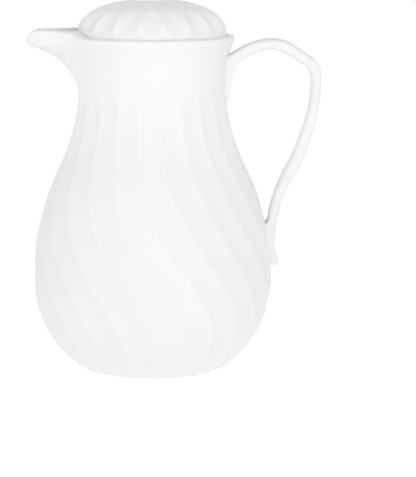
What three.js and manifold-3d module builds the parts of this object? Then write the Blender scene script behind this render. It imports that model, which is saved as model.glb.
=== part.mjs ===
// Insulated serving jug: a foam-filled double-walled vessel with a swirl-fluted shell,
// an open spout, a strap handle and a lift-out lid with a push-button pouring valve.
// Millimetres, +Z up. The origin is on the vessel's axis, in the plane that it stands on.
// The spout points to -X and the handle to +X.

import * as THREE from 'three';
import { mergeVertices } from 'three/addons/utils/BufferGeometryUtils.js';
import Module from 'manifold-3d';

const wasm = await Module();
wasm.setup();

// Clearances
const FIT = 0.3; // between pieces that touch on the real jug
const RUNNING = 0.4; // between pieces that slide or turn
const FOAM_GAP = 0.8; // foam to the walls on its two sides
const OVERLAP = 1; // how far a joined or cutting solid runs past the face that it meets

// Outside of the vessel, measured over the crests of its flutes
const BASE_RADIUS = 46;
const BELLY_RADIUS = 83.8;
const BELLY_HEIGHT = 63;
const NECK_RADIUS = 51.6;
const NECK_HEIGHT = 205;
const BASE_PULL = 8; // pulls are the lengths of the outline's tangents
const BELLY_PULL_DOWN = 38;
const BELLY_PULL_UP = 77;
const NECK_PULL = 66;

// Collar, from the neck up to the lip
const COLLAR_RISE = 30;
const COLLAR_FLARE = 6.1;
const COLLAR_PULL_UP = 19;
const COLLAR_PULL_DOWN = 8;
const COLLAR_PULL_IN = 0.9;

// Walls of the shell
const SHELL_WALL = 2.9;
const SPOUT_WALL = 2.6;

// Flutes of the shell
const FLUTE_COUNT = 22;
const FLUTE_DEPTH = 1.3;
const FLUTE_NECK_DEPTH = 0.9;
const FLUTE_TOP_DROP = 7; // below the neck
const FLUTE_ARCH = 7;
const FLUTE_TWIST = THREE.MathUtils.degToRad(50); // from the neck down to the base
const FLUTE_TWIST_RISE = 17; // above the belly, where half of the twist is done
const FLUTE_TWIST_SPREAD = 26; // how far up and down from there it spreads
const FLUTE_PHASE = THREE.MathUtils.degToRad(5.3);

// Seam between the two mouldings of the shell: a tongue of the lower one stands inside the upper one
const SEAM_TONGUE_HEIGHT = 5;
const SEAM_TONGUE_WALL = 1.3;

// Spout
const SPOUT_LENGTH = 30.3; // out from the lip
const SPOUT_NOSE_DEPTH = 2.8; // of the round between its underside and its tip
const SPOUT_NOSE_DROP = 8.4; // from the lip to the foot of that round
const SPOUT_RISE = 2.8; // how far its side walls stand above the rim
const SPOUT_TIP_RISE = 0.6;
const SPOUT_TIP_ROUND_LENGTH = 4.5; // of the round at the top of its tip
const SPOUT_TIP_ROUND_DROP = 5;
const SPOUT_KEEL = 3.1; // how far its underside stands out where the neck ends
const SPOUT_KEEL_LENGTH = 10;
const SPOUT_HALF_ANGLE = THREE.MathUtils.degToRad(11.4);
const SPOUT_SHARPNESS = 3.1;
const SPOUT_SECTOR = THREE.MathUtils.degToRad(37.5);
const SPOUT_NOSE_SHARE = 0.72; // share of the way up the collar that shapes the underside
const SPOUT_FALL_START = 1.8; // half angles from the middle where its side walls start to fall
const SPOUT_RISE_START = 0.5; // share of the way up the collar where they start to rise
const UNDERSIDE_LEAVE = { out: 0.13, up: 0.37 }; // tangent points, as shares of its reach and rise
const UNDERSIDE_ARRIVE = { out: 0.44, up: 0.93 };
const NOSE_LEAVE = 0.85;
const NOSE_ARRIVE = 0.3;

// Ledge in the neck that carries the liner
const NECK_LEDGE_RISE = 4; // above the neck
const NECK_LEDGE_THICKNESS = 3;
const NECK_LEDGE_WIDTH = 2.9;
const NECK_GASKET_THICKNESS = 1.4;

// Base
const BASE_RIM = 4.2;
const BASE_LEDGE_HEIGHT = 3;
const BASE_LEDGE_THICKNESS = 2.2;
const BASE_LEDGE_WIDTH = 3.8;
const BASE_SPIGOT_WALL = 3.4;
const BASE_BEAD = 0.5;
const BASE_SEAL_RADIUS = 0.62;
const BASE_SEAL_PLACE = 0.6; // share of the way from the spigot to the plate's edge
const FILL_HOLE_PLACE = -18;
const FILL_PLUG_RADIUS = 4.2;
const FILL_PLUG_HEAD_WIDTH = 2.2;
const FILL_PLUG_HEAD_THICKNESS = 0.9;
const FILL_PLUG_LENGTH = 4.6;
const FILL_PLUG_RECESS = 0.3;

// Liner
const LINER_WALL = 2;
const LINER_NECK_GAP = 3; // from the ledge in the neck to the liner's outside
const LINER_FLANGE_THICKNESS = 2;
const FOAM_THICKNESS = 8;
const LINER_BASE_HEIGHT = 14;
const LINER_BASE_INSET = 2; // from the base's radius

// Handle: a strap through sections that run from its outer edge to its inner edge. Each place is given
// as shares: out from the vessel's wall, of the handle's reach, and up from the belly to the neck.
// The first and last sections lie inside the vessel, whose surface cuts the strap off.
const HANDLE_REACH = 67;
const HANDLE_WIDTH = 20;
const HANDLE_ROUND = 3;
const HANDLE_SECTIONS = [
  { outer: [-0.162, 1.099], inner: [-0.152, 0.898] },
  { outer: [-0.007, 1.115], inner: [0.026, 0.899] },
  { outer: [0.037, 1.128], inner: [0.047, 0.965] },
  { outer: [0.137, 1.163], inner: [0.119, 1.072] },
  { outer: [0.241, 1.184], inner: [0.242, 1.123] },
  { outer: [0.354, 1.195], inner: [0.393, 1.146] },
  { outer: [0.474, 1.193], inner: [0.491, 1.141] },
  { outer: [0.605, 1.175], inner: [0.596, 1.125] },
  { outer: [0.791, 1.127], inner: [0.745, 1.085] },
  { outer: [0.925, 1.09], inner: [0.854, 1.049] },
  { outer: [0.984, 1.049], inner: [0.889, 1.009] },
  { outer: [0.994, 0.986], inner: [0.893, 0.972] },
  { outer: [0.938, 0.832], inner: [0.835, 0.838] },
  { outer: [0.661, 0.613], inner: [0.574, 0.637] },
  { outer: [0.407, 0.493], inner: [0.339, 0.521] },
  { outer: [0.239, 0.403], inner: [0.157, 0.415] },
  { outer: [0.151, 0.327], inner: [0.061, 0.345] },
  { outer: [0.108, 0.282], inner: [0.001, 0.292] },
  { outer: [0.077, 0.232], inner: [-0.088, 0.25] },
  { outer: [0.053, 0.176], inner: [-0.168, 0.19] },
  { outer: [0.055, 0.123], inner: [-0.181, 0.13] },
  { outer: [0.077, 0.092], inner: [-0.186, 0.095] },
  { outer: [0.059, 0.065], inner: [-0.188, 0.07] },
];
const HANDLE_BOSS_RADIUS = 4;
const HANDLE_BOSS_PLACES = [0.95, 0.204]; // shares of the way from the belly to the neck
const HANDLE_SCREW_RADIUS = 1.6;
const HANDLE_SCREW_HEAD_WIDTH = 2.8;
const HANDLE_SCREW_HEAD_THICKNESS = 2.2;
const HANDLE_SCREW_LENGTH = 5;

// Lid
const LID_GAP = 1.3; // to the inside of the collar
const LID_SHOULDER_RISE = 2; // above the lip
const LID_DOME_RISE = 23.7;
const LID_SQUARENESS = 2.2; // exponent of the dome's superellipse
const LID_WALL = 2.4;
const LID_SCALLOP_COUNT = 18;
const LID_SCALLOP_DEPTH = 1.5;
const LID_SCALLOP_SHARE = 0.734; // of the dome's rise
const LID_SCALLOP_ARCH = 3.5;
const LID_SCALLOP_PHASE = THREE.MathUtils.degToRad(10);
const LID_SEAT_DROP = 2; // below the lip
const LID_SEAT_WIDTH = 3.6;
const LID_SKIRT_WALL = 2.4;
const LID_SKIRT_LENGTH = 6;

// Bayonet between the lid and the collar
const BAYONET_COUNT = 3;
const BAYONET_TURN = THREE.MathUtils.degToRad(30);
const LUG_THICKNESS = 3;
const LUG_HALF_ANGLE = THREE.MathUtils.degToRad(12);
const COLLAR_LEDGE_HALF_ANGLE = THREE.MathUtils.degToRad(15);

// Stopper
const STOPPER_DECK_RISE = 3; // above the lid's seat
const STOPPER_DECK_THICKNESS = 3;
const STOPPER_DECK_STEP = 2;
const STOPPER_WALL = 3;
const STOPPER_SHANK_STEP = 2.2; // from the plug's radius
const STOPPER_SIDE_GAP = 1.3; // to the liner
const STOPPER_DEPTH = 21; // below the liner's flange
const STOPPER_SEAT_THICKNESS = 3.5;
const STOPPER_SEAT_WIDTH = 12.6; // from the chamber's wall in to the hole
const STOPPER_TAPER = 0.8;
const GASKET_GROOVE_DROP = 3.5; // below the liner's flange
const GASKET_GROOVE_HEIGHT = 6;
const GASKET_GROOVE_DEPTH = 2.6;
const GASKET_LIP_HEIGHT = 1.6;
const GASKET_LIP_SETBACK = 1;
const WINDOW_COUNT = 6;
const WINDOW_WIDTH = 15;
const WINDOW_SILL = 2; // above the shank's foot
const WINDOW_HEAD = 4; // below the deck
const GUIDE_WALL = 1.8;
const GUIDE_HEIGHT = 4.5;

// Screws between stopper and lid
const LID_SCREW_COUNT = 3;
const LID_SCREW_RADIUS = 1.4;
const LID_SCREW_HEAD_WIDTH = 1.4;
const LID_SCREW_HEAD_THICKNESS = 1.8;
const LID_SCREW_BITE = 5;
const LID_BOSS_WALL = 1.7;

// Button and valve
const BUTTON_RADIUS = 14;
const BUTTON_STAND = 1.9; // above the dome's crown
const BUTTON_CROWN = 0.6;
const BUTTON_EDGE = 1.2;
const BUTTON_EDGE_ROUND = 0.3; // share of the edge that its middle corner is set back
const BUTTON_FLANGE_WIDTH = 2.2;
const BUTTON_FLANGE_THICKNESS = 3;
const BUTTON_SOCKET_DEPTH = 5;
const STEM_RADIUS = 3;
const STEM_COLLAR_WIDTH = 1.8;
const STEM_COLLAR_LENGTH = 3;
const STEM_TAIL = 2;
const DISC_OVERLAP = 4; // past the stopper's hole
const DISC_THICKNESS = 3;
const DISC_HUB_WALL = 3.7;
const DISC_HUB_LENGTH = 1.5;
const SEAL_INSET = 1; // inside the stopper's hole
const SEAL_THICKNESS = 1.6;
const CLIP_THICKNESS = 0.8;
const CLIP_GROOVE_DEPTH = 0.9;
const CLIP_WIDTH = 3;
const CLIP_OPENING = THREE.MathUtils.degToRad(60);

// Return spring
const SPRING_GUIDE_GAP = 2.35;
const SPRING_WIRE_RADIUS = 0.65;
const SPRING_CURLS = 5;

// Facets and steps of curved faces
const ROUND_LARGE = 32;
const ROUND_MEDIUM = 24;
const ROUND_SMALL = 10;
const SECTOR_STEPS = 3;
const COLUMNS_PER_FLUTE = 2;
const COLUMNS_PER_SPOUT_FLUTE = 4;
const COLLAR_SHARES = [0.2, 0.38, 0.56, 0.72, 0.83, 1]; // rings on the way up the collar
const LOWER_STEPS = 5;
const UPPER_STEPS = 8;
const ARCH_STEPS = 2;
const INSIDE_LOWER_STEPS = 4;
const INSIDE_UPPER_STEPS = 6;
const HANDLE_STEPS_PER_SECTION = 2;
const HANDLE_CORNER_STEPS = 2;
const LINER_LOWER_STEPS = 4;
const LINER_UPPER_STEPS = 6;
const LID_COLUMNS_PER_SCALLOP = 2;
const LID_CROWN_STEPS = 4;
const LID_ARCH_STEPS = 3;
const LID_WALL_STEPS = 3;
const LID_CAVITY_STEPS = 5;
const SPRING_STEPS_PER_CURL = 8;
const SPRING_SIDES = 5;

const TURN = 2 * Math.PI;
const FRONT = -Math.PI / 2; // the angle of the side that faces -Y
const SPOUT_ANGLE = Math.PI;

// Sizes that follow from those above, from the shell inwards and from the collar up to the button
const shellDepth = SHELL_WALL + FLUTE_DEPTH; // crest of a flute to the inside of the wall
const lipRadius = NECK_RADIUS + COLLAR_FLARE;
const lipHeight = NECK_HEIGHT + COLLAR_RISE;
const fluteTop = NECK_HEIGHT - FLUTE_TOP_DROP;
const seamHeight = BELLY_HEIGHT; // where the shell is widest
const spoutReach = lipRadius + SPOUT_LENGTH;
const spoutNose = spoutReach - SPOUT_NOSE_DEPTH;
const spoutNoseHeight = lipHeight - SPOUT_NOSE_DROP;
const keelStart = NECK_HEIGHT - SPOUT_KEEL_LENGTH;
const keelRadius = NECK_RADIUS + SPOUT_KEEL;
const neckInside = NECK_RADIUS - shellDepth;
const neckLedgeTop = NECK_HEIGHT + NECK_LEDGE_RISE;
const neckLedgeBottom = neckLedgeTop - NECK_LEDGE_THICKNESS;
const neckLedgeRadius = neckInside - NECK_LEDGE_WIDTH;
const baseOpening = BASE_RADIUS - BASE_RIM;
const baseLedgeRadius = baseOpening - BASE_LEDGE_WIDTH;
const baseLedgeTop = BASE_LEDGE_HEIGHT + BASE_LEDGE_THICKNESS;
const basePlateThickness = BASE_LEDGE_HEIGHT - FIT;
const linerNeckOuter = neckLedgeRadius - LINER_NECK_GAP;
const linerNeckRadius = linerNeckOuter - LINER_WALL;
const linerBaseRadius = BASE_RADIUS - LINER_BASE_INSET;
const linerFlangeBottom = neckLedgeTop + NECK_GASKET_THICKNESS + 2 * FIT;
const linerFlangeTop = linerFlangeBottom + LINER_FLANGE_THICKNESS;
const lidRadius = lipRadius - shellDepth - LID_GAP;
const lidShoulder = lipHeight + LID_SHOULDER_RISE;
const lidCrown = lidShoulder + LID_DOME_RISE;
const scallopTop = lidShoulder + LID_SCALLOP_SHARE * LID_DOME_RISE;
const lidSeat = lipHeight - LID_SEAT_DROP;
const skirtRadius = lidRadius - LID_SEAT_WIDTH;
const skirtInside = skirtRadius - LID_SKIRT_WALL;
const skirtBottom = lidSeat - LID_SKIRT_LENGTH;
const deckTop = lidSeat + STOPPER_DECK_RISE;
const deckBottom = deckTop - STOPPER_DECK_THICKNESS;
const deckRadius = skirtInside - 2 * FIT;
const plugRadius = linerNeckRadius - STOPPER_SIDE_GAP;
const shankRadius = plugRadius - STOPPER_SHANK_STEP;
const shankEnd = linerFlangeTop + OVERLAP;
const stopperBottom = linerFlangeTop - STOPPER_DEPTH;
const grooveTop = linerFlangeTop - GASKET_GROOVE_DROP;
const grooveBottom = grooveTop - GASKET_GROOVE_HEIGHT;
const grooveRadius = plugRadius - GASKET_GROOVE_DEPTH;
const chamberRadius = Math.min(shankRadius, grooveRadius) - STOPPER_WALL;
const seatRadius = chamberRadius - STOPPER_SEAT_WIDTH;
const windowBottom = shankEnd + WINDOW_SILL;
const windowTop = deckBottom - WINDOW_HEAD;
const screwCircle = (shankRadius + deckRadius) / 2;
const lidBossRadius = LID_SCREW_RADIUS + FIT + LID_BOSS_WALL;
const handleScrewHead = HANDLE_SCREW_RADIUS + HANDLE_SCREW_HEAD_WIDTH;
const plugHeadRadius = FILL_PLUG_RADIUS + FILL_PLUG_HEAD_WIDTH;
const buttonTop = lidCrown + BUTTON_STAND;
const buttonHole = BUTTON_RADIUS + RUNNING;
const stemHole = STEM_RADIUS + RUNNING;
const guideTop = deckTop + GUIDE_HEIGHT;
const discRadius = seatRadius + DISC_OVERLAP;
const sealInner = seatRadius - SEAL_INSET;
const springRadius = stemHole + GUIDE_WALL + SPRING_GUIDE_GAP + SPRING_WIRE_RADIUS;

// Materials
function finish(color, roughness, metalness = 0) {
  return new THREE.MeshStandardMaterial({ color, roughness, metalness });
}

const FINISHES = {
  shell: finish(0xf1f1ee, 0.42),
  lid: finish(0xf3f3f0, 0.4),
  liner: finish(0xe9e9e4, 0.3),
  foam: finish(0xe9dfb8, 0.95),
  base: finish(0xe6e6e2, 0.5),
  stopper: finish(0xe4e4df, 0.4),
  rubber: finish(0xc9c9c4, 0.8),
  steel: finish(0xb9bcc0, 0.3, 1),
};

// Solids from triangles

function signedVolume(points, triangles) {
  let volume = 0;
  for (let i = 0; i < triangles.length; i += 3) {
    const [a, b, c] = [0, 1, 2].map((k) => points[triangles[i + k]]);
    volume += a.dot(b.clone().cross(c)) / 6;
  }
  return volume;
}

function solidOf(points, triangles) {
  const kept = [];
  for (let i = 0; i < triangles.length; i += 3) {
    const [a, b, c] = triangles.slice(i, i + 3);
    if (a !== b && b !== c && c !== a) kept.push(a, b, c);
  }
  if (signedVolume(points, kept) < 0) kept.reverse();
  const vertProperties = new Float32Array(points.flatMap((point) => point.toArray()));
  const triVerts = new Uint32Array(kept);
  return new wasm.Manifold(new wasm.Mesh({ numProp: 3, vertProperties, triVerts }));
}

function solidFrom(geometry) {
  const bare = geometry.clone();
  bare.deleteAttribute('normal');
  bare.deleteAttribute('uv');
  const merged = mergeVertices(bare);
  const position = merged.getAttribute('position');
  const points = [];
  for (let i = 0; i < position.count; i += 1) {
    points.push(new THREE.Vector3().fromBufferAttribute(position, i));
  }
  return solidOf(points, Array.from(merged.index.array));
}

function geometryOf(solid) {
  const mesh = solid.getMesh();
  const geometry = new THREE.BufferGeometry();
  geometry.setAttribute('position', new THREE.BufferAttribute(mesh.vertProperties, 3));
  geometry.setIndex(new THREE.BufferAttribute(mesh.triVerts, 1));
  geometry.computeVertexNormals();
  return geometry;
}

// Rings of points joined into one closed skin: round on itself, or capped at both ends.
function skinSolid(rings, roundOnItself) {
  const columns = rings[0].length;
  const points = rings.flat();
  const triangles = [];
  const at = (ring, column) => (ring % rings.length) * columns + (column % columns);
  const bands = roundOnItself ? rings.length : rings.length - 1;
  for (let ring = 0; ring < bands; ring += 1) {
    for (let column = 0; column < columns; column += 1) {
      const a = at(ring, column);
      const b = at(ring, column + 1);
      const c = at(ring + 1, column + 1);
      const d = at(ring + 1, column);
      if (points[a].distanceTo(points[c]) < points[b].distanceTo(points[d])) {
        triangles.push(a, b, c, a, c, d);
      } else {
        triangles.push(a, b, d, b, c, d);
      }
    }
  }
  if (!roundOnItself) {
    const last = rings.length - 1;
    const first = points.length;
    points.push(middleOf(rings[0]), middleOf(rings[last]));
    for (let column = 0; column < columns; column += 1) {
      triangles.push(at(0, column + 1), at(0, column), first);
      triangles.push(at(last, column), at(last, column + 1), first + 1);
    }
  }
  return solidOf(points, triangles);
}

function middleOf(ring) {
  const sum = new THREE.Vector3();
  ring.forEach((point) => sum.add(point));
  return sum.divideScalar(ring.length);
}

// A profile of [radius, height] pairs turned about the Z axis. It closes on itself or ends on the axis.
function turned(profile, segments) {
  const points = profile.map(([radius, height]) => new THREE.Vector2(radius, height));
  const onAxis = profile[0][0] === 0 && profile[profile.length - 1][0] === 0;
  if (!onAxis) points.push(points[0].clone());
  return solidFrom(new THREE.LatheGeometry(points, segments).rotateX(Math.PI / 2));
}

function cylinderAlongZ(radius, bottom, top, segments) {
  const geometry = new THREE.CylinderGeometry(radius, radius, top - bottom, segments);
  return solidFrom(geometry.rotateX(Math.PI / 2).translate(0, 0, (bottom + top) / 2));
}

function cylinderAlongX(radius, near, far, height, segments) {
  const geometry = new THREE.CylinderGeometry(radius, radius, far - near, segments);
  return solidFrom(geometry.rotateZ(Math.PI / 2).translate((near + far) / 2, 0, height));
}

// Part of a flat ring, centred on an angle.
function ringSector(inner, outer, bottom, top, angle, halfAngle) {
  const shape = new THREE.Shape();
  shape.absarc(0, 0, outer, angle - halfAngle, angle + halfAngle, false);
  shape.absarc(0, 0, inner, angle + halfAngle, angle - halfAngle, true);
  const geometry = new THREE.ExtrudeGeometry(shape, {
    depth: top - bottom,
    bevelEnabled: false,
    curveSegments: SECTOR_STEPS,
  });
  return solidFrom(geometry.translate(0, 0, bottom));
}

function evenly(count, start, step) {
  return Array.from({ length: count }, (_, i) => start + i * step);
}

function onCircle(radius, angle, height) {
  return new THREE.Vector3(radius * Math.cos(angle), radius * Math.sin(angle), height);
}

function mix(a, b, share) {
  return a + (b - a) * share;
}

function curve(...points) {
  return new THREE.CubicBezierCurve(...points.map(([x, y]) => new THREE.Vector2(x, y)));
}

// A point beside a profile curve, on its inner side, which is to the left of an upward curve.
function insideOf(profileCurve, share, distance) {
  const point = profileCurve.getPoint(share);
  const tangent = profileCurve.getTangent(share);
  return [point.x - tangent.y * distance, point.y + tangent.x * distance];
}

// The radius of a profile curve, or of a line beside it, at a given height.
function radiusAt(profileCurve, height, distance = 0) {
  let low = 0;
  let high = 1;
  for (let i = 0; i < 40; i += 1) {
    const middle = (low + high) / 2;
    if (insideOf(profileCurve, middle, distance)[1] < height) low = middle;
    else high = middle;
  }
  return insideOf(profileCurve, low, distance)[0];
}

// Outline of the shell

const lowerCurve = curve(
  [BASE_RADIUS, 0],
  [BASE_RADIUS + BASE_PULL, 0],
  [BELLY_RADIUS, BELLY_HEIGHT - BELLY_PULL_DOWN],
  [BELLY_RADIUS, BELLY_HEIGHT],
);
const upperCurve = curve(
  [BELLY_RADIUS, BELLY_HEIGHT],
  [BELLY_RADIUS, BELLY_HEIGHT + BELLY_PULL_UP],
  [NECK_RADIUS, NECK_HEIGHT - NECK_PULL],
  [NECK_RADIUS, NECK_HEIGHT],
);
const collarCurve = curve(
  [NECK_RADIUS, NECK_HEIGHT],
  [NECK_RADIUS, NECK_HEIGHT + COLLAR_PULL_UP],
  [lipRadius - COLLAR_PULL_IN, lipHeight - COLLAR_PULL_DOWN],
  [lipRadius, lipHeight],
);

function underneath({ out, up }) {
  return [mix(keelRadius, spoutNose, out), mix(NECK_HEIGHT, spoutNoseHeight, up)];
}

const undersideCurve = curve(
  [keelRadius, NECK_HEIGHT],
  underneath(UNDERSIDE_LEAVE),
  underneath(UNDERSIDE_ARRIVE),
  [spoutNose, spoutNoseHeight],
);
const noseCurve = curve(
  [spoutNose, spoutNoseHeight],
  [mix(spoutNose, spoutReach, NOSE_LEAVE), spoutNoseHeight],
  [spoutReach, mix(spoutNoseHeight, lipHeight, NOSE_ARRIVE)],
  [spoutReach, lipHeight],
);

// The flutes hang straight from the neck, swing round in the middle and end straight at the base.
function twistAt(height) {
  return FLUTE_TWIST / (1 + Math.exp((height - BELLY_HEIGHT - FLUTE_TWIST_RISE) / FLUTE_TWIST_SPREAD));
}

// Depth of a hollow across its width, from -1 to 1 between two ridges, under a rounded top.
function hollowDepth(across, height, depth, top, arch) {
  const archTop = top - arch * (1 - Math.sqrt(Math.max(0, 1 - across * across)));
  const fade = THREE.MathUtils.smoothstep(archTop - height, 0, arch / 2);
  return depth * (1 - across * across) * fade;
}

const fluteColumns = [];
for (let flute = 0; flute < FLUTE_COUNT; flute += 1) {
  const width = TURN / FLUTE_COUNT;
  const ridge = FRONT + FLUTE_PHASE + flute * width;
  const centre = ridge + width / 2;
  const inSpout = angleFromSpout(centre) < SPOUT_SECTOR;
  const steps = inSpout ? COLUMNS_PER_SPOUT_FLUTE : COLUMNS_PER_FLUTE;
  for (let step = 0; step < steps; step += 1) {
    const share = step / steps;
    fluteColumns.push({ angle: ridge + share * width, across: 2 * share - 1 });
  }
}

function angleFromSpout(angle) {
  return Math.abs(Math.atan2(Math.sin(angle - SPOUT_ANGLE), Math.cos(angle - SPOUT_ANGLE)));
}

function spoutPull(angle, halfAngle) {
  return 1 / (1 + (angleFromSpout(angle) / halfAngle) ** SPOUT_SHARPNESS);
}

// How far the spout's side walls rise above the collar's rim.
function spoutLift(angle) {
  const off = angleFromSpout(angle);
  const side = 1 - THREE.MathUtils.smoothstep(off, SPOUT_FALL_START * SPOUT_HALF_ANGLE, SPOUT_SECTOR);
  const tip = 1 - THREE.MathUtils.smoothstep(off, 0, SPOUT_HALF_ANGLE);
  return side * mix(SPOUT_RISE, SPOUT_TIP_RISE, tip);
}

function vesselRing(radius, height, grow) {
  const keelShare = THREE.MathUtils.clamp(
    (height - keelStart) / (NECK_HEIGHT - keelStart), 0, 1);
  const depthShare = THREE.MathUtils.smoothstep(height, BELLY_HEIGHT, fluteTop);
  const depth = mix(FLUTE_DEPTH, FLUTE_NECK_DEPTH, depthShare);
  return fluteColumns.map(({ angle, across }) => {
    const turnedAngle = angle + twistAt(height);
    const hollow = hollowDepth(across, height, depth, fluteTop, FLUTE_ARCH);
    const keel = SPOUT_KEEL * keelShare * keelShare * spoutPull(turnedAngle, SPOUT_HALF_ANGLE);
    return onCircle(radius + grow + keel - hollow, turnedAngle, height);
  });
}

// How far the top of the spout is rounded down, a given share of the way out to the tip.
function tipDrop(pull) {
  const share = Math.max(0, 1 - (SPOUT_LENGTH * (1 - pull)) / SPOUT_TIP_ROUND_LENGTH);
  return SPOUT_TIP_ROUND_DROP * (1 - Math.sqrt(1 - share * share));
}

// A ring that goes from a plain place on the collar to another place at the middle of the spout.
// The shares say how much of the side walls' lift and of the tip's round it takes.
function collarRing(plain, spout, halfAngle, shares, grow) {
  return fluteColumns.map(({ angle }) => {
    const pull = spoutPull(angle, halfAngle);
    const level = mix(plain[1], spout[1], pull);
    const height = level + shares.lift * spoutLift(angle) - shares.round * tipDrop(pull);
    return onCircle(mix(plain[0], spout[0], pull) + grow, angle, height);
  });
}

function spoutPlace(share, inward) {
  if (share <= SPOUT_NOSE_SHARE) return insideOf(undersideCurve, share / SPOUT_NOSE_SHARE, inward);
  return insideOf(noseCurve, (share - SPOUT_NOSE_SHARE) / (1 - SPOUT_NOSE_SHARE), inward);
}

const spoutInnerHalfAngle = SPOUT_HALF_ANGLE - SPOUT_WALL / mix(lipRadius, spoutReach, 0.5);

function sharesAt(share) {
  const aboveNose = (spoutPlace(share, 0)[1] - spoutNoseHeight) / SPOUT_NOSE_DROP;
  return {
    lift: THREE.MathUtils.smoothstep(share, SPOUT_RISE_START, 1),
    round: Math.max(0, aboveNose),
  };
}

function collarRings(grow) {
  return COLLAR_SHARES.map((share) => {
    const plain = insideOf(collarCurve, share, 0);
    return collarRing(plain, spoutPlace(share, 0), SPOUT_HALF_ANGLE, sharesAt(share), grow);
  });
}

function vesselHeights() {
  const archFoot = fluteTop - FLUTE_ARCH;
  const heights = evenly(UPPER_STEPS, BELLY_HEIGHT, (archFoot - BELLY_HEIGHT) / UPPER_STEPS);
  heights.push(...evenly(ARCH_STEPS, archFoot, FLUTE_ARCH / ARCH_STEPS), fluteTop, NECK_HEIGHT);
  return heights;
}

function vesselRings(grow) {
  const rings = evenly(LOWER_STEPS, 0, 1 / LOWER_STEPS).map((share) => {
    const point = lowerCurve.getPoint(share);
    return vesselRing(point.x, point.y, grow);
  });
  vesselHeights().forEach((height) => rings.push(vesselRing(radiusAt(upperCurve, height), height, grow)));
  return rings;
}

// Inside of the shell below the neck, from the neck down, a given distance from the crests.
function insideProfile(distance, lowest) {
  const profile = [];
  evenly(INSIDE_UPPER_STEPS + 1, 0, 1 / INSIDE_UPPER_STEPS).forEach((share) => {
    const place = insideOf(upperCurve, share, distance);
    if (place[1] < neckLedgeBottom - NECK_LEDGE_THICKNESS) profile.unshift(place);
  });
  evenly(INSIDE_LOWER_STEPS, 0, 1 / INSIDE_LOWER_STEPS).reverse().forEach((share) => {
    const place = insideOf(lowerCurve, share, distance);
    if (place[1] > lowest + OVERLAP) profile.push(place);
  });
  profile.push([radiusAt(lowerCurve, lowest, distance), lowest]);
  return profile;
}

function plainRing(radius, height) {
  return fluteColumns.map(({ angle }) => onCircle(radius, angle + twistAt(height), height));
}

function rimRings() {
  const plainRound = shellDepth / 2;
  const spoutRound = SPOUT_WALL / 2;
  return [45, 90, 135].map((degrees) => {
    const angle = THREE.MathUtils.degToRad(degrees);
    const rise = Math.sin(angle);
    const out = Math.cos(angle);
    const plain = [lipRadius - plainRound * (1 - out), lipHeight + plainRound * rise];
    const spout = [spoutReach - spoutRound * (1 - out), lipHeight + spoutRound * rise];
    const halfAngle = mix(spoutInnerHalfAngle, SPOUT_HALF_ANGLE, (1 + out) / 2);
    return collarRing(plain, spout, halfAngle, sharesAt(1), 0);
  });
}

function channelRings() {
  const shares = COLLAR_SHARES.filter((share) => {
    return insideOf(collarCurve, share, shellDepth)[1] > linerFlangeTop + OVERLAP;
  });
  return shares.reverse().map((share) => {
    const plain = insideOf(collarCurve, share, shellDepth);
    const spout = spoutPlace(share, SPOUT_WALL);
    return collarRing(plain, spout, spoutInnerHalfAngle, sharesAt(share), 0);
  });
}

const lugTop = skirtBottom + LUG_THICKNESS;
const lugRadius = radiusAt(collarCurve, skirtBottom, shellDepth) - 2 * FIT;
const collarLedgeBottom = lugTop + RUNNING;
const collarLedgeTop = lidSeat - FIT;
const collarLedgeRadius = skirtRadius + RUNNING + FIT;

// The handle's bosses go through the wall, and end where a screw head clears its inner face.
const bosses = HANDLE_BOSS_PLACES.map((share) => {
  const height = mix(BELLY_HEIGHT, NECK_HEIGHT, share);
  const inner = radiusAt(upperCurve, height + handleScrewHead, shellDepth) - 2 * FIT;
  const outer = radiusAt(upperCurve, height) + FIT;
  return { height, inner, outer };
});

// The whole shell, before it is parted at the seam.
function makeShell() {
  const inside = insideProfile(shellDepth, baseLedgeTop).map(([radius, height]) => plainRing(radius, height));
  const rings = [
    ...vesselRings(0),
    ...collarRings(0),
    ...rimRings(),
    ...channelRings(),
    plainRing(neckInside, linerFlangeTop),
    plainRing(neckInside, neckLedgeTop),
    plainRing(neckLedgeRadius, neckLedgeTop),
    plainRing(neckLedgeRadius, neckLedgeBottom),
    plainRing(neckInside, neckLedgeBottom),
    ...inside,
    plainRing(baseLedgeRadius, baseLedgeTop),
    plainRing(baseLedgeRadius, BASE_LEDGE_HEIGHT),
    plainRing(baseOpening, BASE_LEDGE_HEIGHT),
    plainRing(baseOpening, 0),
  ];
  let shell = skinSolid(rings, true);
  evenly(BAYONET_COUNT, 0, TURN / BAYONET_COUNT).forEach((angle) => {
    const outer = radiusAt(collarCurve, collarLedgeBottom, shellDepth) + OVERLAP;
    shell = shell.add(ringSector(
      collarLedgeRadius, outer, collarLedgeBottom, collarLedgeTop, angle, COLLAR_LEDGE_HALF_ANGLE));
  });
  bosses.forEach(({ height, inner, outer }) => {
    const hole = cylinderAlongX(
      HANDLE_BOSS_RADIUS + FIT, inner - OVERLAP, outer + OVERLAP, height, ROUND_SMALL);
    shell = shell.subtract(hole);
  });
  return shell;
}

const seamOutside = 2 * BELLY_RADIUS;
const seamTongueRadius = radiusAt(lowerCurve, seamHeight, shellDepth) + SEAM_TONGUE_WALL;
const seamTongueTop = seamHeight + SEAM_TONGUE_HEIGHT;

function makeLowerShell(shell) {
  const face = seamHeight - FIT / 2;
  const region = skinSolid([
    plainRing(seamOutside, -OVERLAP),
    plainRing(seamOutside, face),
    plainRing(seamTongueRadius, face),
    plainRing(seamTongueRadius, seamTongueTop),
  ], false);
  return shell.intersect(region);
}

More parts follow.
